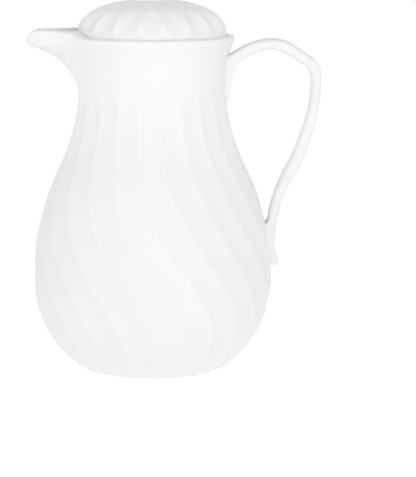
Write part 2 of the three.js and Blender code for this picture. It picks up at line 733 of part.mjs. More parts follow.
function makeUpperShell(shell) {
  const face = seamHeight + FIT / 2;
  const region = skinSolid([
    plainRing(seamTongueRadius + FIT, seamTongueTop + FIT),
    plainRing(seamTongueRadius + FIT, face),
    plainRing(seamOutside, face),
    plainRing(seamOutside, lipHeight + NECK_HEIGHT),
  ], false);
  return shell.intersect(region);
}

// Handle

// One section of the strap: a rectangle with rounded corners between two points of its edges.
function handleRing(outer, inner) {
  const across = outer.clone().sub(inner);
  const thickness = across.length();
  const round = Math.min(HANDLE_ROUND, thickness / 2);
  across.divideScalar(thickness);
  const ring = [];
  evenly(4, 0, Math.PI / 2).forEach((start) => {
    const cornerOut = Math.sign(Math.cos(start + Math.PI / 4));
    const cornerSide = Math.sign(Math.sin(start + Math.PI / 4));
    evenly(HANDLE_CORNER_STEPS + 1, start, Math.PI / 2 / HANDLE_CORNER_STEPS).forEach((angle) => {
      const out = thickness / 2 + cornerOut * (thickness / 2 - round) + round * Math.cos(angle);
      const side = cornerSide * (HANDLE_WIDTH / 2 - round) + round * Math.sin(angle);
      ring.push(new THREE.Vector3(inner.x + across.x * out, side, inner.y + across.y * out));
    });
  });
  return ring;
}

// A place beside the vessel, from its shares of the handle's reach and of the height.
function besideVessel([out, up]) {
  const height = mix(BELLY_HEIGHT, NECK_HEIGHT, up);
  const wall = radiusAt(up < 1 ? upperCurve : collarCurve, height);
  return new THREE.Vector2(wall + out * HANDLE_REACH, height);
}

function makeHandle() {
  const outerEdge = new THREE.SplineCurve(HANDLE_SECTIONS.map(({ outer }) => besideVessel(outer)));
  const innerEdge = new THREE.SplineCurve(HANDLE_SECTIONS.map(({ inner }) => besideVessel(inner)));
  const steps = (HANDLE_SECTIONS.length - 1) * HANDLE_STEPS_PER_SECTION;
  const rings = evenly(steps + 1, 0, 1 / steps).map((share) => {
    return handleRing(outerEdge.getPoint(share), innerEdge.getPoint(share));
  });
  const vessel = skinSolid([...vesselRings(FIT), ...collarRings(FIT)], false);
  let handle = skinSolid(rings, false).subtract(vessel);
  bosses.forEach(({ height, inner, outer }) => {
    const pilot = cylinderAlongX(
      HANDLE_SCREW_RADIUS + FIT, inner - OVERLAP, inner + HANDLE_SCREW_LENGTH + FIT, height, ROUND_SMALL);
    const boss = cylinderAlongX(HANDLE_BOSS_RADIUS, inner, outer + OVERLAP, height, ROUND_SMALL);
    handle = handle.add(boss).subtract(pilot);
  });
  return handle;
}

function makeHandleScrew({ height, inner }) {
  const headFace = inner - FIT;
  const head = cylinderAlongX(
    handleScrewHead, headFace - HANDLE_SCREW_HEAD_THICKNESS, headFace, height, ROUND_SMALL);
  const shaft = cylinderAlongX(
    HANDLE_SCREW_RADIUS, headFace - OVERLAP, inner + HANDLE_SCREW_LENGTH, height, ROUND_SMALL);
  return head.add(shaft);
}

// Liner and foam

const linerBelly = BELLY_RADIUS - shellDepth - FOAM_THICKNESS;
const linerCorner = curve(
  [linerBaseRadius, LINER_BASE_HEIGHT],
  [linerBaseRadius + BASE_PULL, LINER_BASE_HEIGHT],
  [linerBelly, BELLY_HEIGHT - BELLY_PULL_DOWN + BASE_PULL],
  [linerBelly, BELLY_HEIGHT],
);
const linerShoulder = curve(
  [linerBelly, BELLY_HEIGHT],
  [linerBelly, BELLY_HEIGHT + BELLY_PULL_UP],
  [linerNeckOuter, NECK_HEIGHT - NECK_PULL],
  [linerNeckOuter, NECK_HEIGHT],
);

function linerProfile(inward) {
  const lower = evenly(LINER_LOWER_STEPS, 0, 1 / LINER_LOWER_STEPS);
  const upper = evenly(LINER_UPPER_STEPS + 1, 0, 1 / LINER_UPPER_STEPS);
  return [
    ...lower.map((share) => insideOf(linerCorner, share, inward)),
    ...upper.map((share) => insideOf(linerShoulder, share, inward)),
  ];
}

function makeInnerLiner() {
  const flangeRadius = neckInside - RUNNING;
  return turned([
    [0, LINER_BASE_HEIGHT],
    ...linerProfile(0),
    [linerNeckOuter, linerFlangeBottom],
    [flangeRadius, linerFlangeBottom],
    [flangeRadius, linerFlangeTop],
    [linerNeckRadius, linerFlangeTop],
    ...linerProfile(LINER_WALL).reverse(),
    [0, LINER_BASE_HEIGHT + LINER_WALL],
  ], ROUND_LARGE);
}

const spigotTop = baseLedgeTop + RUNNING + 2 * BASE_BEAD;

function makeInsulationFoam() {
  const top = neckLedgeBottom - FOAM_GAP;
  const outside = insideProfile(shellDepth + FOAM_GAP, baseLedgeTop + FOAM_GAP);
  const inside = linerProfile(-FOAM_GAP).filter(([, height]) => height < top - OVERLAP);
  let foam = turned([
    [0, spigotTop + FOAM_GAP],
    [baseLedgeRadius + FOAM_GAP, spigotTop + FOAM_GAP],
    [baseLedgeRadius + FOAM_GAP, baseLedgeTop + FOAM_GAP],
    ...outside.reverse(),
    [neckInside - FOAM_GAP, top],
    [linerNeckOuter + FOAM_GAP, top],
    ...inside.reverse(),
    [0, LINER_BASE_HEIGHT - FOAM_GAP],
  ], ROUND_LARGE);
  bosses.forEach(({ height, inner }) => {
    const pocketRadius = handleScrewHead + FOAM_GAP;
    const bottom = inner - FIT - HANDLE_SCREW_HEAD_THICKNESS - FIT;
    const pocket = cylinderAlongX(pocketRadius, bottom, inner + shellDepth, height, ROUND_SMALL);
    foam = foam.subtract(pocket);
  });
  return foam;
}

function makeNeckGasket() {
  const bottom = neckLedgeTop + FIT;
  const inner = neckLedgeRadius + FIT;
  const outer = neckInside - RUNNING;
  return turned([
    [inner, bottom],
    [outer, bottom],
    [outer, bottom + NECK_GASKET_THICKNESS],
    [inner, bottom + NECK_GASKET_THICKNESS],
  ], ROUND_LARGE);
}

// Base

const plateRadius = baseOpening - RUNNING;
const spigotRadius = baseLedgeRadius - RUNNING;
const sealMiddle = mix(spigotRadius, plateRadius, BASE_SEAL_PLACE);
const sealGroove = BASE_SEAL_RADIUS + FIT;
const sealHeight = BASE_LEDGE_HEIGHT - FIT - BASE_SEAL_RADIUS;
const plugSeat = FILL_PLUG_RECESS + FILL_PLUG_HEAD_THICKNESS + FIT;

function makeBasePlate() {
  const grooveFloor = sealHeight - BASE_SEAL_RADIUS - FIT;
  const plate = turned([
    [0, 0],
    [plateRadius, 0],
    [plateRadius, basePlateThickness],
    [sealMiddle + sealGroove, basePlateThickness],
    [sealMiddle + sealGroove, grooveFloor],
    [sealMiddle - sealGroove, grooveFloor],
    [sealMiddle - sealGroove, basePlateThickness],
    [spigotRadius, basePlateThickness],
    [spigotRadius, baseLedgeTop + RUNNING],
    [spigotRadius + BASE_BEAD + RUNNING, baseLedgeTop + RUNNING + BASE_BEAD],
    [spigotRadius, spigotTop],
    [spigotRadius - BASE_SPIGOT_WALL, spigotTop],
    [spigotRadius - BASE_SPIGOT_WALL, basePlateThickness],
    [0, basePlateThickness],
  ], ROUND_LARGE);
  const hole = cylinderAlongZ(FILL_PLUG_RADIUS + FIT, -OVERLAP, baseLedgeTop, ROUND_SMALL);
  const seat = cylinderAlongZ(plugHeadRadius + FIT, -OVERLAP, plugSeat, ROUND_SMALL);
  return plate.subtract(hole.add(seat).translate([FILL_HOLE_PLACE, 0, 0]));
}

function makeFillPlug() {
  const headTop = FILL_PLUG_RECESS + FILL_PLUG_HEAD_THICKNESS;
  return turned([
    [0, FILL_PLUG_RECESS],
    [plugHeadRadius, FILL_PLUG_RECESS],
    [plugHeadRadius, headTop],
    [FILL_PLUG_RADIUS, headTop],
    [FILL_PLUG_RADIUS - FIT, FILL_PLUG_RECESS + FILL_PLUG_LENGTH],
    [0, FILL_PLUG_RECESS + FILL_PLUG_LENGTH],
  ], ROUND_SMALL).translate([FILL_HOLE_PLACE, 0, 0]);
}

function makeBaseSeal() {
  const section = evenly(4, 0, TURN / 4).map((angle) => [
    sealMiddle + BASE_SEAL_RADIUS * Math.cos(angle),
    sealHeight + BASE_SEAL_RADIUS * Math.sin(angle),
  ]);
  return turned(section, ROUND_LARGE);
}

// Lid

// The other coordinate of a point on the dome's outline, both as shares of its radius and rise.
function acrossDome(share) {
  return (1 - share ** LID_SQUARENESS) ** (1 / LID_SQUARENESS);
}

function domeRadius(height) {
  return lidRadius * acrossDome((height - lidShoulder) / LID_DOME_RISE);
}

function domeHeight(radius) {
  return lidShoulder + LID_DOME_RISE * acrossDome(radius / lidRadius);
}

const lidColumns = evenly(LID_SCALLOP_COUNT * LID_COLUMNS_PER_SCALLOP, 0, 1).map((column) => {
  const share = (column % LID_COLUMNS_PER_SCALLOP) / LID_COLUMNS_PER_SCALLOP;
  const step = TURN / LID_SCALLOP_COUNT / LID_COLUMNS_PER_SCALLOP;
  return { angle: FRONT + LID_SCALLOP_PHASE + column * step, across: 2 * share - 1 };
});

function lidRing(radius, height) {
  return lidColumns.map(({ angle, across }) => {
    const hollow = hollowDepth(across, height, LID_SCALLOP_DEPTH, scallopTop, LID_SCALLOP_ARCH);
    return onCircle(radius - hollow, angle, height);
  });
}

function lidPlainRing(radius, height) {
  return lidColumns.map(({ angle }) => onCircle(radius, angle, height));
}

const domeCavityTop = lidCrown - LID_WALL - OVERLAP;
const screwAngles = evenly(LID_SCREW_COUNT, BAYONET_TURN, TURN / LID_SCREW_COUNT);

// The dome's inner face: a smaller superellipse above the skirt's inner wall.
function cavityHeight(radius) {
  const rise = domeCavityTop - lidShoulder;
  return lidShoulder + rise * acrossDome(radius / (skirtInside + OVERLAP));
}

function makeLidCap() {
  const crownRadius = domeRadius(scallopTop);
  const archFoot = scallopTop - LID_SCALLOP_ARCH;
  const crownRadii = evenly(LID_CROWN_STEPS, buttonHole, (crownRadius - buttonHole) / LID_CROWN_STEPS);
  const wallHeights = [
    ...evenly(LID_ARCH_STEPS, scallopTop, -LID_SCALLOP_ARCH / LID_ARCH_STEPS),
    ...evenly(LID_WALL_STEPS, archFoot, (lidShoulder - archFoot) / LID_WALL_STEPS),
    lidShoulder,
  ];
  const cavityRadii = evenly(LID_CAVITY_STEPS, skirtInside, (buttonHole - skirtInside) / LID_CAVITY_STEPS);
  let cap = skinSolid([
    ...crownRadii.map((radius) => lidPlainRing(radius, domeHeight(radius))),
    ...wallHeights.map((height) => lidRing(domeRadius(height), height)),
    lidRing(lidRadius, lidSeat),
    lidPlainRing(skirtRadius, lidSeat),
    lidPlainRing(skirtRadius, skirtBottom),
    lidPlainRing(skirtInside, skirtBottom),
    ...cavityRadii.map((radius) => lidPlainRing(radius, cavityHeight(radius))),
    lidPlainRing(buttonHole, cavityHeight(buttonHole)),
  ], true);
  evenly(BAYONET_COUNT, BAYONET_TURN, TURN / BAYONET_COUNT).forEach((angle) => {
    const inner = skirtRadius - LID_SKIRT_WALL / 2;
    cap = cap.add(ringSector(
      inner, lugRadius, skirtBottom, lugTop, angle, LUG_HALF_ANGLE));
  });
  const bossTop = Math.min(
    cavityHeight(screwCircle - lidBossRadius),
    domeHeight(screwCircle + lidBossRadius) - LID_SCALLOP_DEPTH,
  );
  screwAngles.forEach((angle) => {
    const place = onCircle(screwCircle, angle, 0).toArray();
    const boss = cylinderAlongZ(lidBossRadius, deckTop + FIT, bossTop, ROUND_SMALL);
    const pilotTop = deckTop + LID_SCREW_BITE + FIT;
    const pilot = cylinderAlongZ(LID_SCREW_RADIUS + FIT, deckTop - OVERLAP, pilotTop, ROUND_SMALL);
    cap = cap.add(boss.translate(place)).subtract(pilot.translate(place));
  });
  return cap;
}

// Stopper

function makeStopperBody() {
  const body = turned([
    [stemHole, guideTop],
    [stemHole + GUIDE_WALL, guideTop],
    [stemHole + GUIDE_WALL, deckTop],
    [deckRadius, deckTop],
    [deckRadius, deckBottom],
    [shankRadius, deckBottom],
    [shankRadius, shankEnd],
    [plugRadius, shankEnd - OVERLAP],
    [plugRadius, grooveTop],
    [grooveRadius, grooveTop],
    [grooveRadius, grooveBottom],
    [plugRadius, grooveBottom],
    [plugRadius - STOPPER_TAPER, stopperBottom],
    [seatRadius, stopperBottom],
    [seatRadius, stopperBottom + STOPPER_SEAT_THICKNESS],
    [chamberRadius, stopperBottom + STOPPER_SEAT_THICKNESS],
    [chamberRadius, deckBottom - STOPPER_DECK_STEP],
    [stemHole, deckBottom - STOPPER_DECK_STEP],
  ], ROUND_LARGE);
  let cuts = null;
  evenly(WINDOW_COUNT, 0, TURN / WINDOW_COUNT).forEach((angle) => {
    const length = shankRadius - chamberRadius + 4 * OVERLAP;
    const box = new THREE.BoxGeometry(length, WINDOW_WIDTH, windowTop - windowBottom);
    box.translate(mix(chamberRadius, shankRadius, 0.5), 0, (windowBottom + windowTop) / 2);
    const window = solidFrom(box.rotateZ(angle));
    cuts = cuts ? cuts.add(window) : window;
  });
  screwAngles.forEach((angle) => {
    const hole = cylinderAlongZ(
      LID_SCREW_RADIUS + FIT, deckBottom - OVERLAP, deckTop + OVERLAP, ROUND_SMALL);
    cuts = cuts.add(hole.translate(onCircle(screwCircle, angle, 0).toArray()));
  });
  return body.subtract(cuts);
}

// A flat ring in the stopper's groove, with a lip that reaches out to the liner.
function makeStopperGasket() {
  const inner = grooveRadius + FIT;
  const outer = linerNeckRadius - RUNNING;
  const bottom = grooveBottom + FIT;
  const top = grooveTop - FIT;
  const middle = (bottom + top) / 2;
  return turned([
    [inner, bottom],
    [outer - GASKET_LIP_SETBACK, bottom],
    [outer - GASKET_LIP_SETBACK, middle - GASKET_LIP_HEIGHT / 2],
    [outer, middle],
    [outer - GASKET_LIP_SETBACK, middle + GASKET_LIP_HEIGHT / 2],
    [outer - GASKET_LIP_SETBACK, top],
    [inner, top],
  ], ROUND_LARGE);
}

function makeLidScrew(angle) {
  const headTop = deckBottom - FIT;
  const headBottom = headTop - LID_SCREW_HEAD_THICKNESS;
  const head = cylinderAlongZ(LID_SCREW_RADIUS + LID_SCREW_HEAD_WIDTH, headBottom, headTop, ROUND_SMALL);
  const shaft = cylinderAlongZ(
    LID_SCREW_RADIUS, headTop - OVERLAP, deckTop + LID_SCREW_BITE, ROUND_SMALL);
  return head.add(shaft).translate(onCircle(screwCircle, angle, 0).toArray());
}

// Button and valve

const flangeTop = cavityHeight(buttonHole + BUTTON_FLANGE_WIDTH) - FIT;
const buttonBottom = flangeTop - BUTTON_FLANGE_THICKNESS;
const sealTop = stopperBottom - FIT;
const discTop = sealTop - SEAL_THICKNESS - FIT;
const hubBottom = discTop - DISC_THICKNESS - DISC_HUB_LENGTH;
const clipTop = hubBottom - FIT;
const clipBottom = clipTop - CLIP_THICKNESS;
const stemTop = buttonBottom + BUTTON_SOCKET_DEPTH - FIT;

function makePushButton() {
  const flangeRadius = BUTTON_RADIUS + BUTTON_FLANGE_WIDTH;
  const buttonCorner = BUTTON_EDGE * BUTTON_EDGE_ROUND;
  return turned([
    [0, buttonTop],
    [BUTTON_RADIUS / 2, buttonTop - BUTTON_CROWN / 4],
    [BUTTON_RADIUS - BUTTON_EDGE, buttonTop - BUTTON_CROWN],
    [BUTTON_RADIUS - buttonCorner, buttonTop - BUTTON_CROWN - buttonCorner],
    [BUTTON_RADIUS, buttonTop - BUTTON_CROWN - BUTTON_EDGE],
    [BUTTON_RADIUS, flangeTop],
    [flangeRadius, flangeTop],
    [flangeRadius, buttonBottom],
    [STEM_RADIUS + FIT, buttonBottom],
    [STEM_RADIUS + FIT, buttonBottom + BUTTON_SOCKET_DEPTH],
    [0, buttonBottom + BUTTON_SOCKET_DEPTH],
  ], ROUND_MEDIUM);
}

function makeValveStem() {
  const grooveRadiusOfStem = STEM_RADIUS - CLIP_GROOVE_DEPTH;
  const collarRadius = STEM_RADIUS + STEM_COLLAR_WIDTH;
  const collarBottom = discTop + FIT;
  const bottom = clipBottom - FIT - STEM_TAIL;
  return turned([
    [0, stemTop],
    [STEM_RADIUS, stemTop],
    [STEM_RADIUS, collarBottom + STEM_COLLAR_LENGTH],
    [collarRadius, collarBottom + STEM_COLLAR_LENGTH],
    [collarRadius, collarBottom],
    [STEM_RADIUS, collarBottom],
    [STEM_RADIUS, clipTop + FIT],
    [grooveRadiusOfStem, clipTop + FIT],
    [grooveRadiusOfStem, clipBottom - FIT],
    [STEM_RADIUS, clipBottom - FIT],
    [STEM_RADIUS, bottom],
    [0, bottom],
  ], ROUND_SMALL);
}

function makeValveDisc() {
  const hubRadius = STEM_RADIUS + FIT + DISC_HUB_WALL;
  return turned([
    [STEM_RADIUS + FIT, discTop],
    [discRadius, discTop],
    [discRadius, discTop - DISC_THICKNESS],
    [hubRadius, discTop - DISC_THICKNESS],
    [hubRadius, hubBottom],
    [STEM_RADIUS + FIT, hubBottom],
  ], ROUND_MEDIUM);
}

function makeValveSeal() {
  const outer = discRadius - FIT;
  return turned([
    [sealInner, sealTop - SEAL_THICKNESS],
    [outer, sealTop - SEAL_THICKNESS],
    [outer, sealTop],
    [sealInner, sealTop],
  ], ROUND_MEDIUM);
}

function makeStemClip() {
  const inner = STEM_RADIUS - CLIP_GROOVE_DEPTH + FIT;
  const shape = new THREE.Shape();
  shape.absarc(0, 0, inner + CLIP_WIDTH, CLIP_OPENING / 2, TURN - CLIP_OPENING / 2, false);
  shape.absarc(0, 0, inner, TURN - CLIP_OPENING / 2, CLIP_OPENING / 2, true);
  const geometry = new THREE.ExtrudeGeometry(shape, {
    depth: CLIP_THICKNESS,
    bevelEnabled: false,
    curveSegments: ROUND_SMALL / 2,
  });
  return solidFrom(geometry.translate(0, 0, clipBottom));
}

// Return spring: one unbroken wire wound round the guide, its ends on the deck and under the button.
function makeReturnSpring() {
  const bottom = deckTop + FIT + SPRING_WIRE_RADIUS;
  const top = buttonBottom - FIT - SPRING_WIRE_RADIUS;
  const steps = SPRING_CURLS * SPRING_STEPS_PER_CURL;
  const centres = evenly(steps + 1, 0, 1 / steps).map((share) => {
    return onCircle(springRadius, share * SPRING_CURLS * TURN, mix(bottom, top, share));
  });
  const rings = centres.map((centre, i) => {
    const before = centres[Math.max(0, i - 1)];
    const after = centres[Math.min(steps, i + 1)];
    const along = after.clone().sub(before).normalize();
    const outward = new THREE.Vector3(centre.x, centre.y, 0).normalize();
    const side = along.clone().cross(outward).normalize();
    return evenly(SPRING_SIDES, 0, TURN / SPRING_SIDES).map((angle) => {
      const around = outward.clone().multiplyScalar(Math.cos(angle) * SPRING_WIRE_RADIUS);
      around.addScaledVector(side, Math.sin(angle) * SPRING_WIRE_RADIUS);
      return centre.clone().add(around);
    });
  });
  let nearest = Infinity;
  centres.forEach((centre, i) => {
    for (let j = i + SPRING_STEPS_PER_CURL / 2; j < centres.length; j += 1) {
      nearest = Math.min(nearest, centre.distanceTo(centres[j]));
    }
  });
  console.log(`return spring: least gap between curls ${(nearest - 2 * SPRING_WIRE_RADIUS).toFixed(2)} mm`);
  return skinSolid(rings, false);
}

// The jug

const jug = new THREE.Group();

function addPiece(group, name, solid, material) {
  const mesh = new THREE.Mesh(geometryOf(solid), material);
  mesh.name = name;
  group.add(mesh);
}

const vessel = new THREE.Group();
const shell = makeShell();
addPiece(vessel, 'upper_shell', makeUpperShell(shell), FINISHES.shell);
addPiece(vessel, 'lower_shell', makeLowerShell(shell), FINISHES.shell);
addPiece(vessel, 'inner_liner', makeInnerLiner(), FINISHES.liner);
addPiece(vessel, 'insulation_foam', makeInsulationFoam(), FINISHES.foam);
addPiece(vessel, 'neck_gasket', makeNeckGasket(), FINISHES.rubber);
addPiece(vessel, 'base_plate', makeBasePlate(), FINISHES.base);
addPiece(vessel, 'base_seal', makeBaseSeal(), FINISHES.rubber);
addPiece(vessel, 'fill_plug', makeFillPlug(), FINISHES.base);
addPiece(vessel, 'handle', makeHandle(), FINISHES.shell);
addPiece(vessel, 'handle_screw_upper', makeHandleScrew(bosses[0]), FINISHES.steel);
addPiece(vessel, 'handle_screw_lower', makeHandleScrew(bosses[1]), FINISHES.steel);
jug.add(vessel);

const lid = new THREE.Group();
addPiece(lid, 'stopper_gasket', makeStopperGasket(), FINISHES.rubber);
addPiece(lid, 'lid_cap', makeLidCap(), FINISHES.lid);
addPiece(lid, 'stopper_body', makeStopperBody(), FINISHES.stopper);
screwAngles.forEach((angle, i) => addPiece(lid, `lid_screw_${i + 1}`, makeLidScrew(angle), FINISHES.steel));
addPiece(lid, 'return_spring', makeReturnSpring(), FINISHES.steel);
jug.add(lid);

const valve = new THREE.Group();
addPiece(valve, 'push_button', makePushButton(), FINISHES.lid);
addPiece(valve, 'valve_stem', makeValveStem(), FINISHES.steel);
addPiece(valve, 'valve_disc', makeValveDisc(), FINISHES.stopper);
addPiece(valve, 'valve_seal', makeValveSeal(), FINISHES.rubber);
addPiece(valve, 'stem_clip', makeStemClip(), FINISHES.steel);
jug.add(valve);

export default jug;
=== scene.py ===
# %% [markdown]
# # An insulated serving jug
# A white, pear-shaped jug with swirling flutes, an open spout, a strap handle and a scalloped lid.
# Its solids are already packed, so this lesson loads them as a fixed frame and dresses each one: fine
# meshes for what is seen, and a finish made of nodes for every piece. All lengths in the frame are metres.

# %% Load the frame
import math
from collections import namedtuple

import bmesh
import bpy
from mathutils import Matrix, Vector


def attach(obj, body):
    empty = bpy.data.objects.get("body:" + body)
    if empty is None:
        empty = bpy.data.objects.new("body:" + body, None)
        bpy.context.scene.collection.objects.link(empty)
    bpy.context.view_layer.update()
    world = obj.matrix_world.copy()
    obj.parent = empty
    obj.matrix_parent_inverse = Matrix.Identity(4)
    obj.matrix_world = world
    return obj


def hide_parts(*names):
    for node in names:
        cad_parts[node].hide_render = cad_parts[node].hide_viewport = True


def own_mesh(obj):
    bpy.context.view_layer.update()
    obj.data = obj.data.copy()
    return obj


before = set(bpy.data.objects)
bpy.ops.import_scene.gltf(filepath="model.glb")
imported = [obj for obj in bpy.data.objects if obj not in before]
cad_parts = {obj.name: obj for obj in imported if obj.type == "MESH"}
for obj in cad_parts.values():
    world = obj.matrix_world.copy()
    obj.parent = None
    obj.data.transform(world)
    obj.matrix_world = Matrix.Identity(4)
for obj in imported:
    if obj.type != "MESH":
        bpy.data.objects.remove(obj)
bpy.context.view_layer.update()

MM = 0.001
TURN = 2 * math.pi

# %% [markdown]
# ## Camera
# The jug was photographed from a little above and from far away, which a long lens on a distant camera
# repeats. The image is taller than wide, so Blender measures the lens along its height.

# %% Camera
IMAGE_HEIGHT = 477
FOCAL_PIXELS = 2571.4
SENSOR = 36
CAMERA_PLACE = (0.009, -1.8, 0.363868)
CAMERA_AIM = (0.039126, 0, 0.091412)

camera_data = bpy.data.cameras.new("camera")
camera_data.sensor_width = SENSOR
camera_data.lens = SENSOR * FOCAL_PIXELS / IMAGE_HEIGHT
camera = bpy.data.objects.new("camera", camera_data)
camera.location = CAMERA_PLACE
camera.rotation_euler = (Vector(CAMERA_AIM) - camera.location).to_track_quat("-Z", "Y").to_euler()
bpy.context.scene.collection.objects.link(camera)
bpy.context.scene.camera = camera
print("lens", round(camera_data.lens, 1), "mm")

# %% [markdown]
# ## Light
# White plastic shows its form only by small steps of grey. A soft world gives most of the light,
# more of it from the sides than from above, and one wide lamp above the camera brightens what faces it.

# %% World
AMBIENT_SIDE = 1.2
AMBIENT_TOP = 0.4
AMBIENT_TOP_FROM = 0.8
WHITE = (1, 1, 1, 1)

world = bpy.data.worlds.new("studio")
bpy.context.scene.world = world
world.use_nodes = True
sky = world.node_tree
sky.nodes.clear()
direction = sky.nodes.new("ShaderNodeTexCoord")
axes = sky.nodes.new("ShaderNodeSeparateXYZ")
sky.links.new(direction.outputs["Generated"], axes.inputs[0])
height_ramp = sky.nodes.new("ShaderNodeMapRange")
height_ramp.inputs["From Max"].default_value = AMBIENT_TOP_FROM
height_ramp.inputs["To Min"].default_value = AMBIENT_SIDE
height_ramp.inputs["To Max"].default_value = AMBIENT_TOP
sky.links.new(axes.outputs["Z"], height_ramp.inputs["Value"])
soft = sky.nodes.new("ShaderNodeBackground")
soft.inputs["Color"].default_value = WHITE
sky.links.new(height_ramp.outputs["Result"], soft.inputs["Strength"])
print("world from", AMBIENT_TOP, "above to", AMBIENT_SIDE, "at the sides")

# %% [markdown]
# The camera, and whatever reflects, should see plain white behind the jug, without more light on the jug.
# Light Path tells these rays apart, and the largest of its three answers picks the white.


# %% White background
def seen_directly(tree):
    """The share of a ray that the camera, a reflection or a see-through piece sends."""
    path = tree.nodes.new("ShaderNodeLightPath")
    total = path.outputs["Is Camera Ray"]
    for ray in ("Is Glossy Ray", "Is Transmission Ray"):
        larger = tree.nodes.new("ShaderNodeMath")
        larger.operation = "MAXIMUM"
        tree.links.new(total, larger.inputs[0])
        tree.links.new(path.outputs[ray], larger.inputs[1])
        total = larger.outputs[0]
    return total


white = sky.nodes.new("ShaderNodeBackground")
white.inputs["Color"].default_value = WHITE
choice = sky.nodes.new("ShaderNodeMixShader")
sky.links.new(seen_directly(sky), choice.inputs["Fac"])
sky.links.new(soft.outputs[0], choice.inputs[1])
sky.links.new(white.outputs[0], choice.inputs[2])
sky_output = sky.nodes.new("ShaderNodeOutputWorld")
sky.links.new(choice.outputs[0], sky_output.inputs["Surface"])
bpy.context.scene.view_settings.view_transform = "Standard"
print("background", WHITE[:3])

# %% Front lamp
LAMP_WIDTH = 1.8
LAMP_HEIGHT = 0.5
LAMP_POWER = 6
LAMP_PLACE = (0.05, -1.2, 1.05)
LAMP_AIM = (0, 0, 0.13)

lamp_data = bpy.data.lights.new("front_lamp", "AREA")
lamp_data.shape = "RECTANGLE"
lamp_data.size = LAMP_WIDTH
lamp_data.size_y = LAMP_HEIGHT
lamp_data.energy = LAMP_POWER
lamp = bpy.data.objects.new("front_lamp", lamp_data)
lamp.location = LAMP_PLACE
lamp.rotation_euler = (Vector(LAMP_AIM) - lamp.location).to_track_quat("-Z", "Y").to_euler()
bpy.context.scene.collection.objects.link(lamp)
print("lamp", LAMP_POWER, "W")

# %% [markdown]
# ## Floor
# The floor is a pale sheet that runs out into the white background. As on a photographer's light table, part
# of its light is its own, so the belly's underside isn't dark. To the camera that part is larger, so the
# sheet looks white and still holds the soft shadow under the jug. It lies a hair below the jug's base.

# %% Floor sheet
FLOOR_SIZE = 6
FLOOR_DROP = 0.0002

floor_mesh = bmesh.new()
lowered = Matrix.Translation((0, 0, -FLOOR_DROP))
bmesh.ops.create_grid(floor_mesh, x_segments=1, y_segments=1, size=FLOOR_SIZE / 2, matrix=lowered)
floor_data = bpy.data.meshes.new("floor")
floor_mesh.to_mesh(floor_data)
floor_mesh.free()
floor = bpy.data.objects.new("floor", floor_data)
bpy.context.scene.collection.objects.link(floor)
print("floor", FLOOR_SIZE, "m square")

# %% Floor finish
FLOOR_COLOUR = (0.92, 0.92, 0.92, 1)
FLOOR_OWN_LIGHT = 1.1
FLOOR_SEEN_SHARE = 0.84
FLOOR_TABLE_SHARE = 0.57

paper = bpy.data.materials.new("pale_floor")
paper.use_nodes = True
tree = paper.node_tree
tree.nodes.clear()
matt = tree.nodes.new("ShaderNodeBsdfDiffuse")
matt.inputs["Color"].default_value = FLOOR_COLOUR
glow = tree.nodes.new("ShaderNodeEmission")
glow.inputs["Strength"].default_value = FLOOR_OWN_LIGHT
share = tree.nodes.new("ShaderNodeMapRange")
share.inputs["To Min"].default_value = FLOOR_TABLE_SHARE
share.inputs["To Max"].default_value = FLOOR_SEEN_SHARE
tree.links.new(seen_directly(tree), share.inputs["Value"])
blend = tree.nodes.new("ShaderNodeMixShader")
tree.links.new(share.outputs[0], blend.inputs["Fac"])
tree.links.new(matt.outputs[0], blend.inputs[1])
tree.links.new(glow.outputs[0], blend.inputs[2])
paper_output = tree.nodes.new("ShaderNodeOutputMaterial")
tree.links.new(blend.outputs[0], paper_output.inputs["Surface"])
floor_data.materials.append(paper)
print("floor's own light", round(FLOOR_OWN_LIGHT * FLOOR_TABLE_SHARE, 2))

# %% [markdown]
# ## Finishes
# Moulded plastic is never one flat colour: its tone drifts slowly over the wall, its gloss changes a
# little with the mould, and a fine grain breaks up its highlights. Each finish reads Object coordinates,
# so its pattern has the right size on every piece and stays put when the piece moves.

# %% Noise, tones and bumps
NOISE_LOW = 0.3
NOISE_HIGH = 0.7


def noise(material, scale, detail=2.0, squeeze=None):
    """A noise texture in the piece's own metres, with squeeze as a scale along each axis."""
    nodes = material.node_tree.nodes
    links = material.node_tree.links
    place = nodes.new("ShaderNodeTexCoord").outputs["Object"]
    if squeeze:
        mapping = nodes.new("ShaderNodeMapping")
        mapping.inputs["Scale"].default_value = squeeze
        links.new(place, mapping.inputs["Vector"])
        place = mapping.outputs["Vector"]
    texture = nodes.new("ShaderNodeTexNoise")
    texture.inputs["Scale"].default_value = scale
    texture.inputs["Detail"].default_value = detail
    links.new(place, texture.inputs["Vector"])
    return texture.outputs["Fac"]


def into_range(material, value, low, high):
    """A value from noise, which hardly leaves its middle range, spread from low to high."""
    spread = material.node_tree.nodes.new("ShaderNodeMapRange")
    spread.inputs["From Min"].default_value = NOISE_LOW
    spread.inputs["From Max"].default_value = NOISE_HIGH
    spread.inputs["To Min"].default_value = low
    spread.inputs["To Max"].default_value = high
    material.node_tree.links.new(value, spread.inputs["Value"])
    return spread.outputs["Result"]


def between_tones(material, value, dark, light):
    """A colour between two tones, picked by a value from noise."""
    ramp = material.node_tree.nodes.new("ShaderNodeValToRGB")
    ramp.color_ramp.elements[0].position = NOISE_LOW
    ramp.color_ramp.elements[0].color = (*dark, 1)
    ramp.color_ramp.elements[1].position = NOISE_HIGH
    ramp.color_ramp.elements[1].color = (*light, 1)
    material.node_tree.links.new(value, ramp.inputs["Fac"])
    return ramp.outputs["Color"]


def raised(material, value, height, strength):
    """Bumps of that height in metres, from a value."""
    bump = material.node_tree.nodes.new("ShaderNodeBump")
    bump.inputs["Distance"].default_value = height
    bump.inputs["Strength"].default_value = strength
    material.node_tree.links.new(value, bump.inputs["Height"])
    return bump.outputs["Normal"]


print("noise is read from", NOISE_LOW, "to", NOISE_HIGH)

